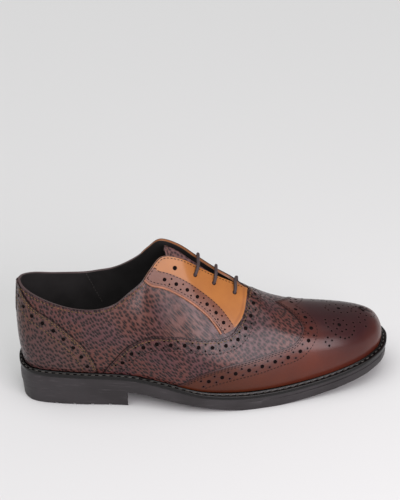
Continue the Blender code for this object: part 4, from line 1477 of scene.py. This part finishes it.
def make_lace():
    points = []
    for index, (rib, up) in enumerate(LACE_EYELETS):
        bar = lace_bar(rib, up, LACE_LEANS[index])
        points += bar[::-1] if index % 2 else bar
        if index < len(LACE_EYELETS) - 1:
            side = LATERAL if index % 2 else MEDIAL
            lean = LACE_LEANS[index] if side == MEDIAL else 0.0
            points += lace_run(side, LACE_EYELETS[index], LACE_EYELETS[index + 1], lean)
    round_cord("straight_lace", points, LACE_RADIUS, LACE_CORD, True, ("lace",))


# Welt, sole, heel and insole

WELT_THICKNESS = 3.0 * MM
WELT_UNDER_UPPER = 3.0 * MM
BEAD_SETBACK = 1.9 * MM
LOOP_COLUMNS = 288
SOLE_SIDE_STEP = 0.7 * MM
SOLE_BOTTOM_BEVEL = 0.8 * MM
HEEL_TAPER = 2.6 * MM
TOE_LINE_DEPTH = 0.6 * MM
HEEL_GROOVE_DEPTH = 1.4 * MM
HEEL_GROOVE_WIDTH = 2.4 * MM
HEEL_GROOVE_PITCH = 14.5 * MM
HEEL_GROOVES = 4
HEEL_BREAST = 0.281
FOOTBED_THICKNESS = 2.0 * MM
FOOTBED_DISH = 1.2 * MM
WeltRow = namedtuple("WeltRow", "inset rise")


def crowded(share):
    """Share of a side's outline, closer together near the heel and the toe."""
    return share - 0.35 * sin(2 * pi * share) / (2 * pi)


def loop_place(turn):
    """(side, share of its outline) at a share of one turn around the shoe."""
    if turn <= 0.5:
        return LATERAL, crowded(turn * 2)
    return MEDIAL, crowded(2 - turn * 2)


def edge_x(side, around):
    return outline_point(side, around)[0].x


def inset_point(side, around, inset, height=0.0):
    edge, outward = outline_point(side, around)
    point = edge - outward * inset
    point.z = height
    return point


def welt_rows(show):
    """Section of the welt: rounded edge, stitch groove, bead and flat under the upper."""
    top = show - BEAD_SETBACK
    return [
        WeltRow(show + WELT_UNDER_UPPER, 0.0),
        WeltRow(top + 0.4 * MM, 0.0),
        WeltRow(top * 0.97, 0.35 * MM),
        WeltRow(top * 0.90, 0.95 * MM),
        WeltRow(top * 0.80, 0.95 * MM),
        WeltRow(top * 0.70, 0.25 * MM),
        WeltRow(top * 0.66, -0.35 * MM),
        WeltRow(top * 0.44, -0.35 * MM),
        WeltRow(top * 0.38, 0.0),
        WeltRow(top * 0.15, 0.02 * MM),
        WeltRow(0.12 * MM, -0.08 * MM),
        WeltRow(0.0, -0.4 * MM),
        WeltRow(0.0, -WELT_THICKNESS + 0.3 * MM),
        WeltRow(0.2 * MM, -WELT_THICKNESS),
        WeltRow(show + WELT_UNDER_UPPER, -WELT_THICKNESS),
        WeltRow(show + WELT_UNDER_UPPER, 0.0),
    ]


def make_welt():
    count = len(welt_rows(WELT_AT_TOE)) - 1

    def place(turn, rise):
        side, around = loop_place(turn)
        row = welt_rows(welt_show(edge_x(side, around)))[round(rise * count)]
        point = inset_point(side, around, row.inset)
        point.z = welt_height(point.x) + row.rise
        return point

    builder = bmesh.new()
    shaped_grid(builder, LOOP_COLUMNS, count, place)
    close_seams(builder)
    piece = add_piece("beaded_welt", builder, (WELT,), ("welt",))
    piece.data.set_sharp_from_angle(angle=radians(70))
    move_to_row(piece)


def make_welt_stitches():
    builder = bmesh.new()
    upright = Vector((0.0, 0.0, 1.0))
    for side in SIDES:
        count = round(PATH_LENGTHS[side][-1] / WELT_STITCH_PITCH)
        stops = []
        for number in range(count):
            ends = []
            for around in ((number + 0.5) / count, (number + 0.7) / count):
                inset = (welt_show(edge_x(side, around)) - BEAD_SETBACK) * 0.53
                point = inset_point(side, around, inset)
                point.z = welt_height(point.x) + 0.05 * MM
                ends.append(point)
            stops.append(Stop(ends[0], upright, (ends[1] - ends[0]).normalized()))
        add_stitches(builder, stops, WELT_STITCH_LENGTH, 0.5 * MM, 0.42 * MM)
    move_to_row(add_piece("welt_stitches", builder, (GREY_THREAD,)))


def sole_rows(x):
    """Side of the sole from its top down: inset from the outline, and height."""
    top = welt_height(x) - WELT_THICKNESS - 0.02 * MM
    bottom = underside_height(x)
    line = TOE_LINE_DEPTH * ease(0.55, 0.80, x / SHOE_LENGTH)
    drop = (top - bottom) * 0.30
    rows = [
        (0.3 * MM, top),
        (0.0, top - 0.3 * MM),
        (0.0, top - drop * 0.88),
        (line, top - drop * 0.93),
        (line, top - drop * 1.07),
        (0.0, top - drop * 1.12),
        (0.0, bottom + SOLE_BOTTOM_BEVEL),
        (SOLE_BOTTOM_BEVEL * 0.3, bottom + SOLE_BOTTOM_BEVEL * 0.3),
        (SOLE_BOTTOM_BEVEL, bottom),
    ]
    return [(SOLE_SIDE_STEP + inset, height) for inset, height in rows]


def breast_share(side):
    """Share of a side's outline at the heel's front face."""
    low = 0.0
    high = 1.0
    for _ in range(30):
        middle = (low + high) / 2
        if edge_x(side, middle) < HEEL_BREAST * SHOE_LENGTH:
            low = middle
        else:
            high = middle
    return low


def make_sole():
    builder = bmesh.new()
    levels = len(sole_rows(0.0)) - 1

    def section_point(side, around, level):
        return inset_point(side, around, *sole_rows(edge_x(side, around))[level])

    def wall(turn, rise):
        return section_point(*loop_place(turn), round((1 - rise) * levels))

    shaped_grid(builder, LOOP_COLUMNS, levels, wall)
    for level in (0, levels):

        def cap(along, across, level=level):
            left, right = (section_point(side, crowded(along), level) for side in SIDES)
            return left.lerp(right, across)

        shaped_grid(builder, LOOP_COLUMNS // 2, 8, cap, turned=level > 0)
    close_seams(builder)
    piece = add_piece("moulded_sole", builder, (RUBBER,), ("outsole",))
    piece.data.set_sharp_from_angle(angle=radians(40))
    move_to_row(piece)


# Side of the heel from its foot up: inset from the outline, and height
HEEL_ROWS = [
    (SOLE_SIDE_STEP + HEEL_TAPER, 0.0),
    (SOLE_SIDE_STEP + HEEL_TAPER - SOLE_BOTTOM_BEVEL, SOLE_BOTTOM_BEVEL),
    (SOLE_SIDE_STEP + HEEL_TAPER * 0.45, HEEL_HEIGHT * 0.27),
    (SOLE_SIDE_STEP + 0.3 * MM, HEEL_HEIGHT * 0.56),
]


def make_heel():
    """Heel block under the sole's back, with notches across its underside."""
    builder = bmesh.new()
    levels = len(HEEL_ROWS) - 1
    last = {side: breast_share(side) for side in SIDES}

    def across_point(along, across, level):
        left, right = (inset_point(side, last[side] * along, *HEEL_ROWS[level]) for side in SIDES)
        return left.lerp(right, across)

    def wall(turn, rise):
        side = LATERAL if turn < 0.5 else MEDIAL
        row = HEEL_ROWS[round(rise * levels)]
        return inset_point(side, last[side] * abs(1 - 2 * turn), *row)

    def breast(across, rise):
        return across_point(1.0, across, round(rise * levels))

    shaped_grid(builder, 120, levels, wall)
    shaped_grid(builder, 8, levels, breast)
    for level in (0, levels):
        shaped_grid(builder, 60, 8, lambda along, across: across_point(along, across, level))
    close_seams(builder)
    piece = add_piece("notched_heel", builder, (RUBBER,))
    tools = bmesh.new()
    size = Matrix.Diagonal((HEEL_GROOVE_WIDTH, BALL_WIDTH, 2 * HEEL_GROOVE_DEPTH, 1.0))
    for index in range(HEEL_GROOVES):
        x = HEEL_BREAST * SHOE_LENGTH - (0.95 + index) * HEEL_GROOVE_PITCH
        bmesh.ops.create_cube(tools, size=1.0, matrix=Matrix.Translation((x, 0.0, 0.0)) @ size)
    cut_away(piece, tools, 30)
    move_to_row(piece)


def make_insole():
    """Footbed: a plate inside the upper with a soft dish."""
    builder = bmesh.new()

    def top(along, across):
        ends = []
        for side in SIDES:
            show = welt_show(edge_x(side, crowded(along)))
            point = inset_point(side, crowded(along), show + WELT_UNDER_UPPER + GAP)
            point.z = welt_height(point.x) + 1.0 * MM
            ends.append(point)
        point = ends[0].lerp(ends[1], across)
        point.z -= FOOTBED_DISH * sin(pi * across) ** 0.5
        return point

    shaped_grid(builder, 90, 16, top)
    close_seams(builder)
    piece = add_piece("footbed", builder, (INSOLE,), ("insole",))
    give_wall(piece, FOOTBED_THICKNESS)
    settle(piece, sharp_angle=50)
    move_to_row(piece)


# Floor, light and camera

FLOOR_GREY = (0.64, 0.64, 0.64)
WORLD_STRENGTH = 0.32
BOX_AT = Vector((0.56, -1.17, 0.54))
BOX_AIM = Vector((0.0, 0.0, 0.05))
BOX_SIZE = (1.0, 0.72)
BOX_POWER = 15.0
BOX_COLOUR = (1.0, 0.93, 0.98)
OVERHEAD_STRENGTH = 2.35
OVERHEAD_SPREAD = radians(78)


def make_floor():
    builder = bmesh.new()
    bmesh.ops.create_grid(builder, x_segments=4, y_segments=4, size=6.0)
    paint, _, shader = start_material("floor_paint", 0.9, specular=0.1)
    shader.inputs["Base Color"].default_value = (*FLOOR_GREY, 1.0)
    add_object("floor", mesh_of("floor", builder, (paint,)))


def make_light():
    world = bpy.data.worlds.new("studio")
    bpy.context.scene.world = world
    world.use_nodes = True
    backdrop = world.node_tree.nodes["Background"]
    backdrop.inputs["Color"].default_value = (1.0, 1.0, 1.0, 1.0)
    backdrop.inputs["Strength"].default_value = WORLD_STRENGTH
    data = bpy.data.lights.new("front_box", "AREA")
    data.shape = "RECTANGLE"
    data.size, data.size_y = BOX_SIZE
    data.energy = BOX_POWER
    data.color = BOX_COLOUR
    light = add_object("front_box", data)
    light.location = BOX_AT
    light.rotation_euler = (BOX_AIM - BOX_AT).to_track_quat("-Z", "Y").to_euler()
    data = bpy.data.lights.new("overhead_panel", "SUN")
    data.energy = OVERHEAD_STRENGTH
    data.angle = OVERHEAD_SPREAD
    add_object("overhead_panel", data).rotation_euler = (radians(14), radians(-10), 0.0)
    bpy.context.scene.view_settings.view_transform = "Standard"


VIEW_TURN = radians(5)
VIEW_TILT = radians(27)
VIEW_DISTANCE = 1.2
VIEW_REFERENCE = Vector((152 * MM, 0.0, 50 * MM))
VIEW_RIGHT = -2.48 * MM
VIEW_UP = 62.8 * MM
PIXELS_PER_METRE = 1210.0
LONG_SIDE = 500


def make_camera():
    right = Vector((cos(VIEW_TURN), -sin(VIEW_TURN), 0.0))
    level_up = sin(VIEW_TILT)
    up = Vector((sin(VIEW_TURN) * level_up, cos(VIEW_TURN) * level_up, cos(VIEW_TILT)))
    back = right.cross(up)
    aim = VIEW_REFERENCE + SHIFT + right * VIEW_RIGHT + up * VIEW_UP
    data = bpy.data.cameras.new("camera")
    data.sensor_width = 36.0
    data.lens = PIXELS_PER_METRE * VIEW_DISTANCE / LONG_SIDE * data.sensor_width
    data.clip_start = 0.05
    data.clip_end = 50.0
    camera = add_object("camera", data)
    turn = Matrix((right, up, back)).transposed().to_4x4()
    camera.matrix_world = Matrix.Translation(aim + back * VIEW_DISTANCE) @ turn
    bpy.context.scene.camera = camera


def main():
    make_camera()
    make_light()
    make_floor()
    make_upper()
    make_counter()
    make_back_strip()
    make_facing(LATERAL, "facing_lateral")
    make_facing(MEDIAL, "facing_medial")
    make_vamp()
    make_cap()
    make_stitching()
    make_beading()
    make_tongue()
    make_lace()
    make_welt()
    make_welt_stitches()
    make_sole()
    make_heel()
    make_insole()


main()
